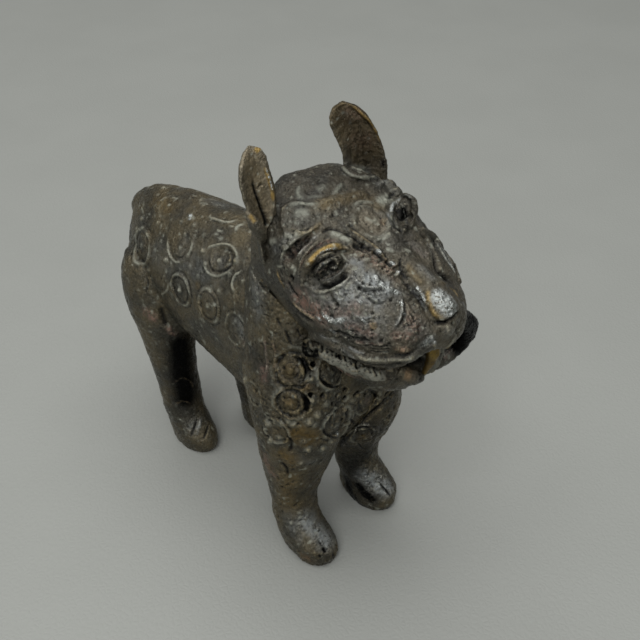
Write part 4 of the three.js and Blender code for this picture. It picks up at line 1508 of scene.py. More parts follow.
def forequarters(bronze: bpy.types.Material) -> Skin:
    """The neck band and the forelegs."""
    left_side = [
        Rosette(y, z, 4.8, look=Look.LEFT, faint=0.2 * (z % 2))
        for y, z in ((-31, 70), (-33, 54), (-22, 61))
    ]
    behind_neck = [Rosette(x, 92, 4.6, look=Look.BEHIND, faint=0.3) for x in (-12, 12)]
    return Skin(
        "forequarters", ("neck", "foreleg_right", "foreleg_left"), bronze, ease=14, closing=1.1, seed=5,
        rosettes=[
            Rosette(291, 370, 5.7, Style.BEADED), Rosette(292, 404, 5.5, Style.BEADED),
            Rosette(365, 437, 4.6), *CHEST_ROSETTES,
            Rosette(275, 431, 4.6, faint=0.3), Rosette(253, 394, 4.2, faint=0.4),
            Rosette(270, 284, 4.4, faint=0.3), Rosette(332, 372, 5.0, faint=0.2),
            *left_side, *behind_neck,
        ],
        studs=[
            Stud(293, 424, 1.1), Stud(309, 422, 1.1), Stud(314, 425, 0.9), Stud(318, 415, 1.0),
            Stud(247, 380, 1.2), Stud(308, 449, 1.0), Stud(304, 441, 0.9), Stud(301, 463, 0.8),
            Stud(312, 400, 1.0), Stud(311, 378, 1.0), Stud(289, 421, 0.9), Stud(281, 424, 0.9),
            Stud(271, 440, 1.0), Stud(279, 438, 0.9), Stud(268, 424, 0.9), Stud(275, 422, 0.8),
            Stud(331, 441, 0.8), Stud(322, 448, 0.9), *CHEST_STUDS,
        ],
        marks=[
            Mark([(x, y)], 0.75, -0.9, soot_and_shade=1.0)
            for x, y in (
                (293, 470), (310.5, 465.5), (279.5, 499), (280.5, 504.5), (287, 485), (282, 487),
                (302, 441), (306, 452), (298, 424), (311, 427), (284, 398), (284, 368),
                (301, 412), (366, 447),
            )
        ] + [
            *CHEST_MARKS,
            # painted shade: black arcs on the shaded side of the two beaded rosettes' grooves
            Mark([(295, 358), (301, 361), (306, 367), (308, 375)], 1.1, -0.9, soot_and_shade=1.1),
            Mark([(303, 396), (307, 402), (307, 409), (303, 414)], 1.1, -0.9, soot_and_shade=1.1),
            Mark([(320, 375), (325, 383), (334, 387), (341, 385)], 0.8, -0.6, soot_and_shade=1.0),
            # painted shade: the shoulder darkened broadly
            Mark([(276, 362), (284, 372), (296, 382), (303, 392), (306, 412)], 13.0, soot_and_shade=0.42),
            Mark([(357, 442), (362, 449), (369, 449)], 0.8, -0.6, soot_and_shade=1.0),
            Mark([(356, 440), (358, 430), (366, 427), (372, 433), (371, 443), (364, 447)],
                 0.7, -0.5, soot_and_shade=1.0),
            Mark([(354, 441), (355, 430), (363, 424), (373, 428), (375, 440), (369, 449)],
                 0.6, 0.4, dust_and_sheen=0.8),
            Mark([(362, 434), (366, 439)], 1.5, 0.3, wear=0.8),
            # painted shade: the left foreleg's shaded inner side
            Mark([(354, 480), (364, 493), (378, 502)], 3.6, soot_and_shade=1.3, rough=1.3),
            Mark([(290, 470), (288, 500), (296, 515)], 6.0, wear=0.4),
            Mark([(312, 470), (313, 500)], 4.0, soot_and_shade=0.4),
            # painted shade: the left foreleg's shaded inner side
            Mark([(347, 478), (350, 492), (360, 505)], 5.0, soot_and_shade=1.2, taper=False),
            Mark([(262, 275), (263, 287), (268, 295)], 0.8, -0.5, soot_and_shade=0.9),
            Mark([(286, 434), (291, 442), (290, 450), (287, 452)], 1.1, -0.7, soot_and_shade=0.8),
            Mark([(262, 426), (264, 434), (269, 438)], 1.1, -0.6, soot_and_shade=0.8),
            Mark([(280, 462), (286, 469), (288, 476)], 0.9, -0.7, soot_and_shade=0.9),
            Mark([(316, 450), (321, 449)], 0.5, 0.35, soil=0.6),
            Mark([(288, 430), (303, 436), (316, 442)], 5.5, wear=1.1, soot_and_shade=0.4),
            Mark([(276, 450), (290, 458), (300, 468)], 4.5, wear=0.6),
            Mark([(290, 372)], 3.0, wear=0.4), Mark([(291, 403)], 4.0, wear=0.6),
            Mark([(304, 384), (309, 392)], 3.0, wear=0.6, rust=0.3),
            Mark([(364, 438)], 3.4, wear=0.7),
            Mark([(262, 365), (264, 375), (263, 384)], 3.0, rust=0.7),
            Mark([(262, 450), (268, 466), (277, 480)], 3.4, rust=0.6),
            Mark([(305, 520), (315, 528), (326, 540)], 6.0, dust_and_sheen=1.0, taper=False),
            Mark([(291, 523)], 1.0, 0.3, soil=0.9), Mark([(277, 529)], 1.0, soil=0.9),
            Mark([(300, 555), (311, 559)], 2.6, wear=0.4, rust=0.5),
            Mark([(323, 547), (326, 553)], 1.2, -0.8, soot_and_shade=1.0),
            Mark([(333, 553), (334, 559)], 1.1, -0.7, soot_and_shade=1.0),
            Mark([(318, 541), (323, 546)], 0.6, -0.4, soot_and_shade=0.5),
            Mark([(318, 554), (321, 558)], 0.8, -0.5, soot_and_shade=0.8),
            Mark([(363, 476), (374, 481), (387, 488)], 5.5, dust_and_sheen=1.2, taper=False),
            Mark([(380, 484), (386, 490), (391, 497)], 0.8, -0.7, soot_and_shade=0.9),
            Mark([(376, 479), (382, 483)], 0.6, 0.3, dust_and_sheen=0.8),
            Mark([(366, 494), (371, 503)], 0.8, -0.5, soot_and_shade=0.7),
            # painted shade: the left foreleg and chest darkened under the head
            Mark([(352, 418), (345, 440), (343, 462)], 6.0, soot_and_shade=0.6, taper=False),
            Mark([(352, 455), (350, 475), (356, 492)], 5.0, soot_and_shade=0.6, taper=False),
            Mark([(390, 400), (386, 410), (380, 420)], 3.5, soot_and_shade=0.35),
            Mark([(397, 388), (385, 401), (371, 414), (356, 426), (345, 439), (338, 450)],
                 1.4, -1.1, soot_and_shade=1.0),
            Mark([(377, 383), (371, 398), (361, 412), (352, 422)], 1.7, 1.3),
            Mark([(262, 275), (262, 284), (266, 293)], 0.7, -0.6, soot_and_shade=0.9),
            Mark([(285, 329), (289, 339), (293, 347)], 0.6, -0.6, soot_and_shade=0.75),
            Mark([(297, 328), (301, 338)], 0.5, -0.5, soot_and_shade=0.6),
            # painted shade: the shoulder and neck darkened below and behind the cheek
            Mark([(248, 345), (262, 360), (275, 385)], 9.0, soot_and_shade=0.3),
            Mark([(262, 262), (285, 292), (300, 316)], 6.0, soot_and_shade=0.2),
            Mark([(254, 255), (256, 285), (260, 325)], 4.5, dust_and_sheen=0.5),
            Mark([(276, 318), (281, 327)], 0.6, -0.5, soot_and_shade=0.8),
            Mark([(264, 336), (267, 360), (266, 385)], 0.7, 0.4, rust=0.8, dust_and_sheen=0.4),
            Mark([(272, 340), (275, 355), (273, 372)], 0.6, 0.4, rust=0.6),
            # painted shade under the cheek
            Mark([(290, 318), (300, 330), (305, 345)], 3.0, soot_and_shade=0.5),
            Mark([(305, 361), (310, 370), (310, 380)], 0.9, -0.7, soot_and_shade=1.0),
            Mark([(290, 385), (300, 388), (308, 384)], 0.6, -0.5, soot_and_shade=0.8),
            Mark([(347, 405), (352, 413), (350, 425)], 0.7, -0.5, soot_and_shade=0.7),
            # painted shade: chest and left foreleg darkened under the jaw
            Mark([(396, 402), (388, 420), (384, 440)], 4.0, soot_and_shade=0.3, rough=1.4),
            Mark([(376, 416), (364, 428), (354, 444)], 3.0, soot_and_shade=0.55),
            Mark([(372, 425), (364, 450), (352, 470)], 9.0, soot_and_shade=0.7, taper=False),
            Mark([(385, 392), (392, 405), (386, 430)], 5.0, soot_and_shade=0.4),
            Mark([(330, 372), (360, 385), (385, 388)], 6.0, soot_and_shade=0.4),
            Mark([(262, 400), (285, 415), (320, 400), (345, 395)], 14.0, rough=0.8, taper=False),
            Mark([(285, 460), (290, 490), (300, 530)], 12.0, rough=0.8, taper=False),
            Mark([(372, 450), (375, 480)], 10.0, rough=1.4, taper=False),
            Mark([(255, 270), (262, 300), (275, 340)], 7.0, rough=0.9, taper=False),
            Mark([(292, 505), (290, 522), (305, 545)], 4.0, dust_and_sheen=0.35),
            Mark([(355, 470), (368, 482), (372, 500)], 4.0, dust_and_sheen=0.4),
            Mark([(296, 455), (303, 463), (318, 461)], 4.0, dust_and_sheen=0.25),
            Mark([(300, 480), (312, 473), (318, 467)], 4.0, soot_and_shade=0.4),
        ],
    )


def head(bronze: bpy.types.Material) -> Skin:
    """The skull with its bridge, right lip, eyes and eyelids."""
    rope = [
        Mark([(355, 250), (372, 258), (388, 270), (398, 280)], 3.0, 0.4, rust=0.6, rough=2.2),
        Mark([(352, 243), (366, 247), (380, 257), (396, 270)], 1.2, -0.8, soot_and_shade=0.9),
        *(
            Mark([(x, y), (x + long, y - 4)], 0.6, rise, rust=0.5, wear=wear)
            for x, y, long, rise, wear in (
                (362, 252, 6, 0.5, 0), (370, 254, 4, 0.6, 0.3),
                (374, 262, 8, 0.4, 0), (383, 262, 5, 0.6, 0.2),
                (381, 270, 5, -0.6, 0), (390, 269, 6, 0.6, 0),
                (389, 277, 7, -0.6, 0), (397, 275, 3, 0.6, 0.3),
            )
        ),
    ]
    glints = [
        Mark([(x - 1, y - 1), (x + 4, y + 3)], 0.5, 0.6, silver_glint=3.0)
        for x, y in (
            (377, 251), (391, 262), (396, 271), (375, 276), (381, 282), (388, 288), (318, 317),
            (333, 321), (339, 320), (362, 320), (330, 331), (399, 303), (402, 312), (359, 301),
        )
    ]
    lip_lines = [
        Mark([(366, 345 + k), (376, 346.5 + k), (392, 346 + k)], 0.5, -0.5, soot_and_shade=0.7)
        for k in (0, 2.6, 5.2)
    ]
    pits = [
        Mark([(x, y)], 0.8, -0.6, soot_and_shade=0.8)
        for x, y in (
            (331, 329), (339, 331), (347, 333), (356, 335), (364, 338), (372, 339), (381, 341),
            (350, 338), (361, 342), (389, 344), (363, 284), (360, 288), (333, 301), (391, 300),
        )
    ]
    crown_specks = [
        Mark([(x, y)], 0.9, 0.25, soil=0.9)
        for x, y in ((317, 167.5), (331, 174), (367, 185), (354, 190), (295, 176), (291, 197))
    ]
    right_eye = [
        Mark([(306, 281), (312, 269), (321, 260), (333, 254), (346, 251)], 0.95, -1.2, soot_and_shade=1.1),
        Mark([(316, 286), (328, 286), (340, 280), (348, 271)], 1.3, -1.2, soot_and_shade=1.0),
        Mark([(311, 277), (324, 269), (338, 262), (344, 258)], 4.0, -0.5, soot_and_shade=0.85, rough=3.0),
        Mark([(313, 276), (319, 268), (328, 262), (341, 257)], 0.5, 0.6, dust_and_sheen=0.5),
        Mark([(316, 279), (324, 272), (334, 267), (345, 261)], 0.5, 0.6, dust_and_sheen=0.5),
        Mark([(322, 280), (331, 275), (340, 270)], 0.5, 0.5, rust=0.5),
        Mark([(347, 257), (346, 266), (339, 274), (329, 279), (318, 281)], 0.45, 0.35, dust_and_sheen=0.6),
        Mark([(322, 264), (325, 263)], 0.7, 0.2, dust_and_sheen=0.9),
        Mark([(315, 272), (322, 271), (331, 268)], 1.2, rust=0.5),
        Mark([(352, 244), (358, 247), (365, 251)], 1.6, -0.8, soot_and_shade=0.8),
        Mark([(308, 266), (313, 258.5), (320, 252), (328, 248), (336, 246), (344, 248)],
             1.1, 0.5, wear=1.5),
        # painted highlight along the lid's gold ridge
        Mark([(313, 260), (321, 253), (330, 249), (338, 247.5)], 0.35, 0.3, silver_glint=2.0),
        Mark([(302, 276), (303, 264), (311, 252), (323, 243), (336, 240)], 1.0, -0.4, rust=0.9, soot_and_shade=0.35),
        Mark([(318, 292), (332, 288.5), (346, 283)], 1.0, 0.1, soil=0.5),
        Mark([(286, 260), (293, 251), (302, 243), (312, 236)], 2.3, -1.7, soot_and_shade=0.5, rust=0.8),
        Mark([(296, 258), (303, 248), (311, 240), (319, 235)], 0.8, 0.5, dust_and_sheen=0.7),
        Mark([(298, 284), (297, 272), (300, 260), (307, 249), (317, 240)], 0.9, -0.2, dust_and_sheen=0.2, soot_and_shade=0.2),
        Mark([(281, 262), (284, 252), (292, 243), (303, 236), (313, 230)], 0.7, 0.5, soil=0.8),
        Mark([(291, 266), (295, 269)], 1.1, 0.5, soil=1.0),
        Mark([(289, 275), (293, 281)], 1.5, -0.8, soot_and_shade=1.0),
        Mark([(277, 266), (284, 266)], 0.6, 0.3, soil=0.9),
        Mark([(277, 270), (281, 280), (285, 288)], 0.6, 0.3, wear=0.8),
        Mark([(287, 280), (292, 290), (298, 297)], 1.2, -0.6, soot_and_shade=0.7),
        Mark([(329, 232), (338, 235), (347, 240), (352, 243)], 1.5, 0.4, soil=1.0),
        Mark([(322, 233), (330, 229), (343, 232)], 0.7, -0.5, soot_and_shade=0.8),
    ]
    left_eye = [
        Mark([(401, 205), (403, 213), (406, 221)], 2.6, -1.4, soot_and_shade=1.3, rough=1.0),
        Mark([(401, 203), (403.5, 212), (406, 220)], 0.45, 0.9, dust_and_sheen=1.0, soil=0.5),
        # painted highlight: a white streak on the left eye's rim
        Mark([(391, 214), (393, 205), (400, 198)], 0.8, 0.5, silver_glint=2.0, soil=0.7),
        Mark([(391, 214), (393, 223), (399, 230)], 0.8, 0.4, soil=0.8),
        Mark([(401, 196.5), (407, 195.5), (412, 200)], 0.7, 0.3, dust_and_sheen=0.9),
        Mark([(392, 218), (396, 228), (404, 232)], 1.0, -0.6, soot_and_shade=0.9),
        Mark([(402, 196), (409, 198), (413, 206), (412, 217), (407, 228)], 1.7, soot_and_shade=0.85, taper=False),
        Mark([(388, 200), (393, 194), (398, 191)], 1.0, -0.6, soot_and_shade=0.8),
        Mark([(377, 204), (384, 200), (391, 197)], 2.6, 0.3, soil=1.2),
        Mark([(414, 226), (418, 231)], 1.5, 0.3, soil=1.0),
        Mark([(388, 212), (389, 220), (393, 229)], 1.0, 0.2, dust_and_sheen=0.8),
        Mark([(394, 232), (402, 240), (410, 243)], 1.0, -0.4, soot_and_shade=0.5),
    ]
    far_cheek = [
        Mark([(419, 232), (428, 241), (434, 255), (438, 269), (447, 277), (456, 283)],
             1.7, -1.6, soot_and_shade=1.1),
        Mark([(437, 240), (445, 254), (452, 268)], 0.6, -0.6, soot_and_shade=0.9),
        Mark([(433, 236), (441, 247), (448, 262), (456, 275)], 0.8, 0.3, dust_and_sheen=1.0, soil=0.5),
        Mark([(426, 240), (431, 252), (435, 266)], 0.9, 0.3, dust_and_sheen=1.0, soil=0.4),
        Mark([(441, 243), (448, 254), (455, 268), (459, 279)], 0.5, -0.4, soot_and_shade=0.8),
        Mark([(412, 240), (420, 250), (428, 258)], 2.6, rust=0.3, dust_and_sheen=0.4),
        Mark([(404, 250), (411, 252)], 1.0, 0.3, soil=1.0),
        Mark([(462, 302), (466, 308)], 0.9, dust_and_sheen=0.8),
    ]
    bridge = [
        Mark([(441, 298), (446, 303), (451, 308)], 3.8, 0.6, silver_glint=2.4, taper=False),
        Mark([(428, 289), (429, 300), (434, 313), (441, 319)], 1.2, 0.5, wear=0.8),
        Mark([(440, 283), (452, 290), (459, 300)], 1.0, 0.3, wear=0.5),
        Mark([(405, 262), (414, 275), (424, 286)], 1.6, 0.3, wear=0.2),
        Mark([(416, 262), (426, 272), (438, 282)], 2.4, 0.2, dust_and_sheen=0.35),
        Mark([(398, 271), (408, 285), (420, 300), (428, 315)], 1.4, -0.8, soot_and_shade=0.3),
        # painted highlight: a bright streak by the crease
        Mark([(415, 285), (421, 293), (426, 303)], 0.7, 0.4, silver_glint=1.2),
        Mark([(414, 287), (421, 296), (426, 305)], 1.0, 0.5, silver_glint=0.8),
        Mark([(401, 257), (400, 268), (409, 281)], 0.7, -0.5, soot_and_shade=0.7),
        Mark([(432, 321), (442, 323.5), (452, 319), (460, 311)], 1.1, -1.2, soot_and_shade=1.0),
        Mark([(448, 332)], 3.2, 0.9, dust_and_sheen=0.35),
        Mark([(450, 322), (456, 328), (457, 336)], 0.9, -0.9, soot_and_shade=1.0),
        Mark([(442, 350), (450, 342), (457, 333), (461, 327)], 0.6, 0.6, soil=0.9),
        # painted sheen and glints on the lip's end and by the fang
        Mark([(421, 345), (428, 340), (434, 337)], 1.6, 0.6, dust_and_sheen=1.0, silver_glint=0.3),
        Mark([(433, 340), (435, 344)], 0.8, 0.4, silver_glint=1.0),
    ]
    muzzle = [
        Mark([(283, 296), (296, 314), (308, 330)], 2.8, -0.3, soot_and_shade=0.45),
        Mark([(328, 334), (350, 340), (376, 344)], 2.4, -0.5, soot_and_shade=0.4, rough=1.5),
        Mark([(404, 285), (412, 300), (420, 318)], 2.2, soot_and_shade=0.35, rough=1.5),
        Mark([(350, 312), (362, 318), (375, 316)], 0.7, 0.4, dust_and_sheen=1.0),
        Mark([(366, 296), (375, 303), (385, 303)], 0.7, -0.5, soot_and_shade=0.6),
        Mark([(330, 296), (338, 305), (334, 312)], 0.7, -0.5, soot_and_shade=0.5),
        # dust, with painted sheen and highlights on the cheek below the eye
        Mark([(352, 276), (360, 284), (372, 288), (386, 287)], 0.7, 0.6, dust_and_sheen=1.0, silver_glint=0.4),
        Mark([(300, 292), (330, 312), (365, 325), (395, 318)], 9.0, rough=1.1, dust_and_sheen=0.5),
        Mark([(330, 302), (360, 292), (390, 300)], 8.0, rough=1.0, dust_and_sheen=0.8),
        Mark([(350, 268), (372, 282), (395, 292)], 4.5, rough=1.2, dust_and_sheen=1.0),
        Mark([(345, 262), (355, 262), (368, 268)], 2.5, dust_and_sheen=0.7),
        Mark([(293, 288), (303, 301), (318, 314), (330, 324)], 5.5, rust=1.1),
        Mark([(320, 310), (345, 312), (365, 305)], 3.5, rust=0.55),
        Mark([(291, 299), (303, 311), (318, 320)], 0.8, 0.7, rust=0.9, wear=0.3),
        Mark([(289, 303), (301, 315), (315, 324)], 1.2, -0.7, soot_and_shade=0.7),
        Mark([(340, 325), (360, 330), (380, 337)], 3.0, rust=0.7),
        Mark([(372, 322), (374, 330)], 1.5, 0.3, rust=1.0, wear=0.5),
        # painted highlight: a glint along the muzzle's crescent
        Mark([(400, 296), (402, 306), (400, 318), (393, 329)], 0.7, 0.5, dust_and_sheen=0.7),
        Mark([(404, 303), (405, 315), (400, 326)], 0.8, -0.6, soot_and_shade=0.7),
        Mark([(416, 313), (412, 324), (420, 333)], 4.0, rust=0.5, rough=1.6),
        Mark([(388, 335), (402, 337), (418, 335)], 2.6, 0.3, rust=0.6, rough=1.4),
        Mark([(320, 335), (330, 338), (342, 343)], 1.3, 0.7, dust_and_sheen=0.6, rough=1.2),
        Mark([(326, 331), (340, 334), (356, 339), (372, 342)], 1.2, -0.8, soot_and_shade=0.8),
        Mark([(348, 346), (356, 351), (366, 353)], 0.9, 0.4, dust_and_sheen=0.7),
        Mark([(352, 341), (366, 344), (385, 343)], 0.8, 0.4, rust=0.8),
        Mark([(395, 346), (402, 349), (410, 348)], 1.7, 0.8, rust=0.9, wear=0.2),
        Mark([(352, 352), (360, 357), (372, 360), (390, 360), (406, 359), (418, 354)], 0.9, 0.6, soil=0.3),
        Mark([(318, 342), (335, 349), (352, 356)], 1.6, soot_and_shade=0.4, rough=1.4),
        Mark([(310, 322), (322, 330), (335, 333)], 2.0, soot_and_shade=0.35),
        Mark([(393, 354), (404, 355), (414, 351)], 0.5, -0.5, soot_and_shade=0.7),
        Mark([(344, 359), (357, 364.5), (375, 366), (394, 365.5), (410, 361)], 1.2, -0.5, soot_and_shade=0.75),
        # painted highlights: glints on the muzzle
        Mark([(322, 313), (333, 320), (346, 318)], 1.0, 0.5, silver_glint=2.2, rough=2.0),
        Mark([(372, 276), (384, 287), (400, 294)], 1.0, 0.5, silver_glint=1.6, rough=2.0),
        Mark([(356, 283), (364, 290), (378, 292)], 0.8, -0.5, soot_and_shade=0.6),
        Mark([(310, 300), (325, 304), (340, 303)], 3.0, dust_and_sheen=0.5),
        Mark([(341, 348), (348, 354), (357, 360)], 0.8, 0.3, dust_and_sheen=0.6),
    ]
    crown = [
        Mark([(352, 206), (362, 202), (375, 203)], 0.9, 0.3, soil=0.9),
        Mark([(375, 240), (384, 239), (391, 234)], 0.9, 0.4, soil=0.9),
        Mark([(288, 208), (293, 204.5), (303, 203.5), (318, 205)], 1.0, 0.3, soil=1.2),
        Mark([(303, 199), (298, 195), (298, 190), (301, 186)], 1.1, 0.3, soil=1.3),
        Mark([(334, 195), (338, 189), (343, 183)], 1.1, 0.3, soil=1.2),
        Mark([(317, 191), (326, 186)], 1.5, 0.1, soil=0.9),
        Mark([(306, 197), (322, 197)], 0.8, 0.1, soil=0.6),
        Mark([(294, 215), (303, 212), (306, 218)], 2.0, 0.2, soil=1.1, rough=1.2),
        Mark([(293, 222), (300, 223)], 1.0, soil=0.8),
        Mark([(288, 229), (300, 233), (313, 230), (322, 222)], 1.3, 0.6, wear=0.25),
        Mark([(364, 217), (372, 222), (377, 219)], 1.0, 0.3, soil=0.8),
        Mark([(310, 207), (340, 201), (370, 193)], 3.4, 0.5, wear=0.3),
        Mark([(383, 218), (384, 226)], 1.8, wear=0.3, rust=0.4),
        Mark([(283, 235), (292, 237), (302, 234)], 1.5, 0.3, soil=0.8),
        Mark([(290, 231), (303, 231), (312, 226)], 0.6, -0.5, soot_and_shade=0.9),
        Mark([(269, 243), (276, 240)], 1.6, 0.3, soil=0.8),
        Mark([(300, 235), (285, 242), (272, 252)], 3.0, rough=1.2, dust_and_sheen=0.4),
        Mark([(388, 250)], 1.1, 0.3, soil=1.0),
        Mark([(353, 169), (366, 170)], 1.8, 0.2, soil=1.3),
        Mark([(341, 166), (349, 174), (361, 177.5), (375, 177)], 0.8, 0.3, soil=1.1),
        Mark([(346, 163), (352, 168), (366, 174), (376, 172)], 0.7, -0.5, soot_and_shade=0.7),
        Mark([(343, 232), (356, 239), (368, 247)], 1.0, -0.7, soot_and_shade=0.9),
        Mark([(349, 228), (360, 236), (374, 246), (388, 262)], 0.6, 0.5, wear=0.3),
        Mark([(330, 218), (345, 214), (350, 226)], 3.0, rough=1.4),
        Mark([(386, 180), (380, 184), (376, 189)], 1.6, 0.5, dust_and_sheen=0.4),
        # painted shade: the crown's top darkened broadly
        Mark([(288, 192), (318, 180), (350, 184)], 17.0, soot_and_shade=0.5, rough=0.6, taper=False),
        Mark([(300, 240), (285, 255), (285, 280)], 4.0, rough=1.6),
        Mark([(345, 222), (352, 236), (368, 246)], 2.2, soot_and_shade=0.3, rough=1.8),
        Mark([(354, 212), (372, 220), (386, 236)], 7.0, dust_and_sheen=0.35, wear=0.2),
        Mark([(350, 196), (368, 200), (384, 212)], 5.0, wear=0.25),
    ]
    return Skin(
        "head", ("skull", "nose_bridge", "lip_right", "eye_right", "eye_left"), bronze,
        filled=("skull",), remade=("eyelid_right", "eyelid_left"), coarse=0.5, fine=0.34, ease=5,
        closing=0.3, seed=8,
        nudges=[
            Nudge(285, 178, 9, (-0.8, 0.5, 1.2)),
            Nudge(325, 268, 6.5, (0.7, 0.9, -0.4)),
            Nudge(404, 213, 4, (-0.3, 0.6, 0)),
            Nudge(322, 345, 10, (0, 0, 2.6)),
            Nudge(346, 353, 8, (0, 0, 1.4)),
            Nudge(430, 356, 9, (0, 0.4, 3.0)),
            Nudge(447, 250, 14, (-1.5, 1.2, 0)),
            Nudge(462, 290, 10, (-0.8, 0.7, 0)),
            Nudge(412, 212, 6, (-0.5, 0.4, 0)),
            Nudge(325, 164, 10, (0, 0, -0.4)),
            Nudge(462, 322, 8, (-0.9, 0.8, 0)),
        ],
        rosettes=[
            Rosette(371, 222, 5.4, Style.BROAD, faint=0.5),
            Rosette(302, 217, 4.6, Style.BROAD, faint=0.7),
            Rosette(319, 189, 5.2, Style.BROAD, faint=0.7),
            *(
                Rosette(x, z, 4.6, Style.BROAD, Look.BEHIND, 0.3)
                for x, z in ((-10, 116), (12, 117), (1, 107))
            ),
            Rosette(-14, 108, 4.4, Style.BROAD, Look.LEFT, 0.3),
        ],
        studs=[Stud(390, 188, 3.0, soil=0.1), Stud(397, 192, 2.6, soil=0.1)],
        rolls=[
            Roll([(303, 284), (305, 273), (311, 262), (321, 252.5), (332, 247.5), (343, 248), (351, 252)],
                 (0.6, 1.0, 1.2, 1.3, 1.2, 0.9, 0.5), 0.35),
            Roll([(298, 281), (299, 269), (305, 256), (316, 245), (330, 239.5)],
                 (0.4, 0.7, 0.9, 0.9, 0.5), 0.6),
            Roll([(283, 249), (292, 241), (305, 232), (319, 224)], (0.4, 0.8, 0.8, 0.4), 0.5, both=True),
            Roll([(306, 286), (317, 291.5), (331, 289), (344, 282), (352, 272)],
                 (0.3, 0.5, 0.5, 0.5, 0.3), 0.5),
            Roll([(422, 229), (434, 238), (444, 250), (453, 266), (460, 281)],
                 (0.7, 1.3, 1.5, 1.4, 0.8), 0.4),
            Roll([(342, 168), (350, 176), (362, 179), (376, 178), (383, 175)],
                 (0.6, 1.1, 1.3, 1.1, 0.6), 0.35),
            Roll([(399, 199), (406, 196), (412, 203), (413, 213), (410, 225), (403, 231)],
                 (0.6, 0.9, 1.1, 1.1, 0.9, 0.6), 0.3),
        ],
        marks=[
            *muzzle, *crown, *right_eye, *left_eye, *far_cheek, *bridge, *rope, *glints, *lip_lines,
            *pits, *crown_specks,
        ],
    )


JAW_LIFTS = [  # the jaw and the teeth are raised together
    Nudge(318, 362, 12, (0, 0, 4.0)),
    Nudge(348, 375, 12, (0, 0, 1.8)),
    Nudge(385, 384, 10, (0, 0, 1.2)),
]


def jaw(bronze: bpy.types.Material) -> Skin:
    """The lower jaw and the curled left lip."""
    return Skin(
        "jaw", ("lower_jaw", "lip_left"), bronze, coarse=0.4, fine=0.33, ease=5, seed=11,
        nudges=[
            *JAW_LIFTS, Nudge(412, 378, 4.5, (0.3, -1.2, -0.3)),
            Nudge(477, 324, 10, (-2.2, 1.9, 0.7)), Nudge(472, 324, 16, (-1.1, 0.9, 1.9)),
        ],
        rolls=[Roll([(403, 372), (411, 376), (418, 377)], (2.0, 2.6, 1.8), 0.5)],
        marks=[
            # painted shade: the curled lip's shaded side, black
            Mark([(465, 309), (474, 315), (477, 326), (472, 338), (463, 347)], 6.0, soot_and_shade=1.9, taper=False),
            Mark([(461, 316), (468, 323), (465, 332), (458, 341)], 5.5, soot_and_shade=1.9, taper=False),
            Mark([(474, 314), (478, 324), (476, 335), (470, 345)], 0.6, 0.2, dust_and_sheen=0.35),
            Mark([(314, 354), (330, 365), (345, 372), (358, 377)], 1.4, 0.4, rust=0.9),
            Mark([(404, 374), (412, 376)], 3.0, wear=0.3, rust=0.6),
            Mark([(419, 373), (420, 381)], 1.2, soot_and_shade=0.9),
            Mark([(441, 357), (449, 352), (455, 347)], 2.0, 0.4, rust=0.8, dust_and_sheen=0.6, rough=1.2),
            Mark([(372, 381), (390, 384)], 3.0, rough=1.2, soot_and_shade=0.4),
            Mark([(386, 368), (392, 376), (396, 384)], 3.4, soot_and_shade=0.55, rough=1.4),
            Mark([(402, 364), (414, 362), (424, 356)], 2.0, soot_and_shade=0.85),
            Mark([(388, 384), (402, 388), (416, 384)], 2.5, soot_and_shade=0.5),
        ],
    )


def teeth(crust: bpy.types.Material) -> Skin:
    """Both rows of teeth, caked together in places."""
    gaps = (  # lines between the teeth that show
        [(310, 343), (311, 351)], [(316, 342), (323, 344), (321, 350)], [(353, 356), (354, 360)],
        [(358, 359), (358, 367)], [(366, 365), (373, 366), (380, 367)], [(389, 374), (389, 380)],
        [(404, 371), (404, 376)], [(340, 352), (340, 356)],
    )
    return Skin(
        "teeth", ("upper_teeth", "lower_teeth"), crust, "encrusted_bronze", coarse=0.3, fine=0.28, ease=5,
        grit=1.2, seed=19,
        nudges=[*JAW_LIFTS, Nudge(404, 372, 8, (2.0, 3.2, 0)), Nudge(420, 366, 6, (1.5, 2.5, 0))],
        rolls=[
            Roll([(322, 353), (333, 358), (346, 364), (356, 369)], (1.2, 1.9, 2.0, 1.6), 0.5),
            Roll([(361, 369), (371, 373), (382, 375)], (1.5, 1.9, 1.6), 0.5),
        ],
        marks=[
            *(Mark(gap, 1.1, -1.6, soot_and_shade=1.3, taper=False) for gap in gaps),
            Mark([(384, 372), (400, 374), (418, 368)], 4.0, rust=0.8, rough=1.5),
            Mark([(412, 364), (420, 368)], 2.5, soot_and_shade=0.8),
            # painted shade: the mouth's deep corner, black
            Mark([(302, 340), (304, 350), (309, 357), (317, 352)], 3.2, soot_and_shade=1.2, taper=False),
            Mark([(330, 355), (345, 362), (375, 370)], 4.0, rough=1.6, taper=False),
            *(
                Mark([(x, 346 + (x - 325) * 0.47), (x + 3, 354 + (x - 325) * 0.47)], 0.6, -0.7, soot_and_shade=1.2)
                for x in (325, 330, 334, 339, 343, 349, 355, 363, 368, 374, 380, 386)
            ),
            *(
                Mark([(x, 348 + (x - 325) * 0.47), (x + 2, 353 + (x - 325) * 0.47)], 0.4, 0.3, soil=1.0)
                for x in (328, 336, 346, 365, 371, 377)
            ),
            Mark([(314, 356), (330, 366), (345, 373), (358, 378), (376, 382)], 1.1, rust=1.0),
            Mark([(422, 350), (423, 360), (424, 371)], 1.6, soot_and_shade=0.8),
        ],
    )


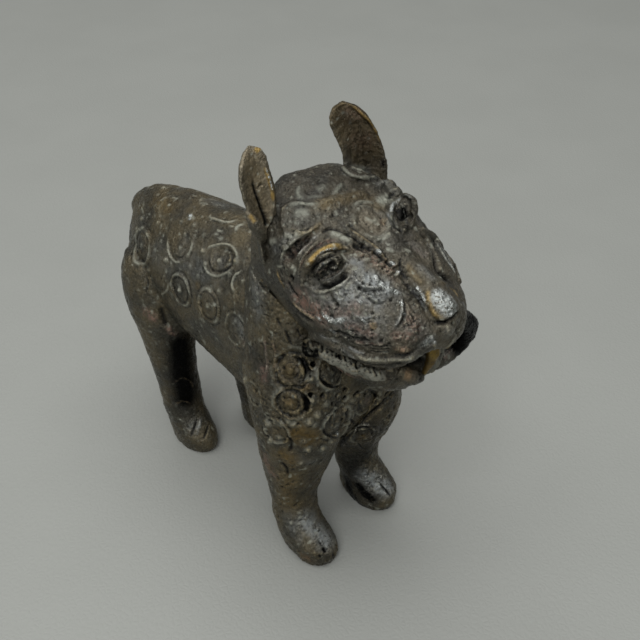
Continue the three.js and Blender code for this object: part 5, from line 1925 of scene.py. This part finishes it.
def ear_left(bronze: bpy.types.Material) -> Skin:
    """The left ear, whose hollow face shows in the picture."""
    return Skin(
        "ear_left_skin", ("ear_left",), bronze, coarse=0.35, fine=0.3, ease=10, grit=0.4, seed=13,
        rolls=[
            Roll([(337, 107), (343, 104), (352, 106), (362, 114), (370, 122), (377, 133)],
                 (0.3, 0.5, 0.6, 0.6, 0.5, 0.3), 0.5),
        ],
        marks=[
            Mark([(336, 121), (348, 125), (360, 125), (372, 124)], 1.8, -0.2, soot_and_shade=0.6),
            # painted shade: the ear's hollow darkened broadly
            Mark([(345, 115), (360, 135), (366, 160)], 9.0, soot_and_shade=0.75, taper=False),
            Mark([(340, 112), (356, 130), (368, 152)], 8.0, wear=0.5, taper=False),
            Mark([(343, 112), (355, 114), (364, 118)], 3.4, rust=0.8),
            Mark([(350, 140), (362, 140), (374, 140)], 4.0, rust=0.8),
            Mark([(343, 104), (352, 106), (362, 114), (370, 122), (377, 133), (382, 146)],
                 0.9, 0.1, wear=1.2),
            Mark([(382, 158), (384, 168)], 1.6, soot_and_shade=0.9),
            Mark([(346, 160), (350, 168), (362, 171), (374, 170)], 2.4, dust_and_sheen=0.8),
            Mark([(353, 169), (366, 170)], 1.8, 0.2, soil=1.3),
            Mark([(343, 167), (351, 174), (364, 177), (378, 176)], 0.8, 0.3, soil=1.0),
            *(
                Mark([(x, 132), (x + 1, 146), (x + 2, 160)], 0.5, -0.1, soot_and_shade=0.25)
                for x in (350, 357, 363, 370)
            ),
            *(Mark([(x, 134), (x + 1, 144), (x + 2, 154)], 0.4, 0.1, dust_and_sheen=0.3) for x in (354, 360, 367)),
        ],
    )


def ear_right(bronze: bpy.types.Material) -> Skin:
    """The right ear: a leaf with a fold down its middle and a gilt edge."""
    return Skin(
        "ear_right_skin", ("ear_right",), bronze, coarse=0.35, fine=0.3, ease=8, grit=0.5, seed=17,
        nudges=[Nudge(243, 156, 8, (0.4, -0.4, -0.3)), Nudge(268, 168, 7, (-0.4, 0.4, 0))],
        rolls=[
            Roll([(263, 162), (268, 175), (272, 190), (274, 205), (271, 219)],
                 (0.3, 0.5, 0.5, 0.5, 0.3), 0.5),
            Roll([(248, 212), (252, 220), (258, 230), (263, 240)], (0.7, 1.7, 1.8, 0.8), 0.4),
        ],
        marks=[
            # painted light: the ear brightened broadly, with some real wear
            Mark([(250, 160), (256, 190), (262, 215)], 8.0, dust_and_sheen=0.7, wear=0.5, taper=False),
            Mark([(252, 176), (256, 192), (261, 207), (266, 223), (268, 235)], 1.0, -0.8, soot_and_shade=0.9),
            Mark([(257, 190), (262, 183)], 0.6, -0.3, soot_and_shade=0.5),
            Mark([(250, 200), (256, 208)], 0.6, -0.3, soot_and_shade=0.5),
            Mark([(255, 147), (260, 152)], 2.0, wear=1.4),
            Mark([(264, 165), (268, 176), (272, 190), (273, 203)], 1.0, 0.1, wear=1.6),
            # painted highlight: the white core of the gilt rim
            Mark([(266, 168), (270, 180), (273, 192)], 0.35, 0.2, silver_glint=2.5),
            Mark([(249, 214), (253, 219), (256, 223)], 1.2, wear=1.0),
            Mark([(246, 165), (250, 185)], 4.0, wear=0.35),
            Mark([(262, 200), (266, 212)], 1.6, dust_and_sheen=0.5),
        ],
    )


REGIONS = {  # each skin's function, and which bronze it has
    rear_body: "plain",
    forequarters: "plain",
    head: "dusty_and_lit",
    jaw: "dusty_and_lit",
    ear_left: "plain",
    # painted light: the lighter bronze brightens this ear, which the lamps leave in shade
    ear_right: "dusty_and_lit",
}
SHIFTS = {  # nudges of the small pieces
    "fang_upper_right": [Nudge(434, 356, 100, (-0.8, 0.8, 0.6))],
}


def small_piece(node: str, material: bpy.types.Material, slot: str = "bronze") -> Skin:
    """A fang or the tongue, as a skin of its own."""
    return Skin(
        f"{node}_skin", (node,), material, slot, coarse=0.3, fine=0.25, ease=5, grit=0.6, seed=len(node),
        nudges=SHIFTS.get(node, ()),
    )


def dress(material: bpy.types.Material, *nodes: str) -> None:
    """Puts a material on CAD nodes in place of their own."""
    for node in nodes:
        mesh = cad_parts[node].data
        mesh.materials.clear()
        mesh.materials.append(material)


def main() -> None:
    """Builds the scene, piece by piece."""
    logging.basicConfig(level=logging.INFO, format="%(name)s: %(message)s")
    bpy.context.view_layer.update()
    bpy.context.scene.view_settings.view_transform = "Standard"
    bpy.context.scene.camera = PHOTOGRAPH.camera()
    stage = Stage()
    stage.ground()
    stage.light()
    bronze = Bronze("old_bronze").material()
    dark = Bronze(
        "dark_bronze", dark=tone(34, 31, 27), brown=tone(52, 42, 32), gold=tone(84, 68, 44)
    ).material()
    worn = Mottled(
        "worn_bronze", tone(118, 98, 46), tone(88, 72, 38), tone(52, 44, 30), 0.4, 0.6
    ).material()
    crust = Bronze(
        "encrusted_bronze", dark=tone(102, 102, 91), brown=tone(130, 129, 117), gold=tone(150, 146, 128),
        pink=tone(98, 82, 66), roughness=0.6, metallic=0.2,
    ).material()
    clay = Mottled("fired_clay", tone(150, 102, 70), tone(120, 80, 56), tone(90, 64, 48), 0.9).material()
    iron = Mottled(
        "rusted_iron", tone(92, 62, 44), tone(66, 52, 44), tone(120, 76, 46), 0.7, 0.4
    ).material()
    # a lighter, greyer bronze: dust, and on the right ear painted light
    dusty_and_lit = Bronze(
        "dusty_bronze", dark=tone(66, 64, 57), brown=tone(90, 84, 70), ridge=tone(138, 132, 112),
        gold=tone(150, 126, 74),
    ).material()
    metals = {"plain": bronze, "dusty_and_lit": dusty_and_lit}
    for region, metal in REGIONS.items():
        region(metals[metal]).build()
    teeth(crust).build()
    small_piece("tongue", dark).build()
    for node in [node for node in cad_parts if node.startswith("fang")]:
        small_piece(node, worn, "worn_bronze").build()
    dress(bronze, *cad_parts)
    dress(clay, "clay_core")
    dress(iron, *(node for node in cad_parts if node.startswith("core_pin")))
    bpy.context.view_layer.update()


if __name__ == "__main__":
    main()
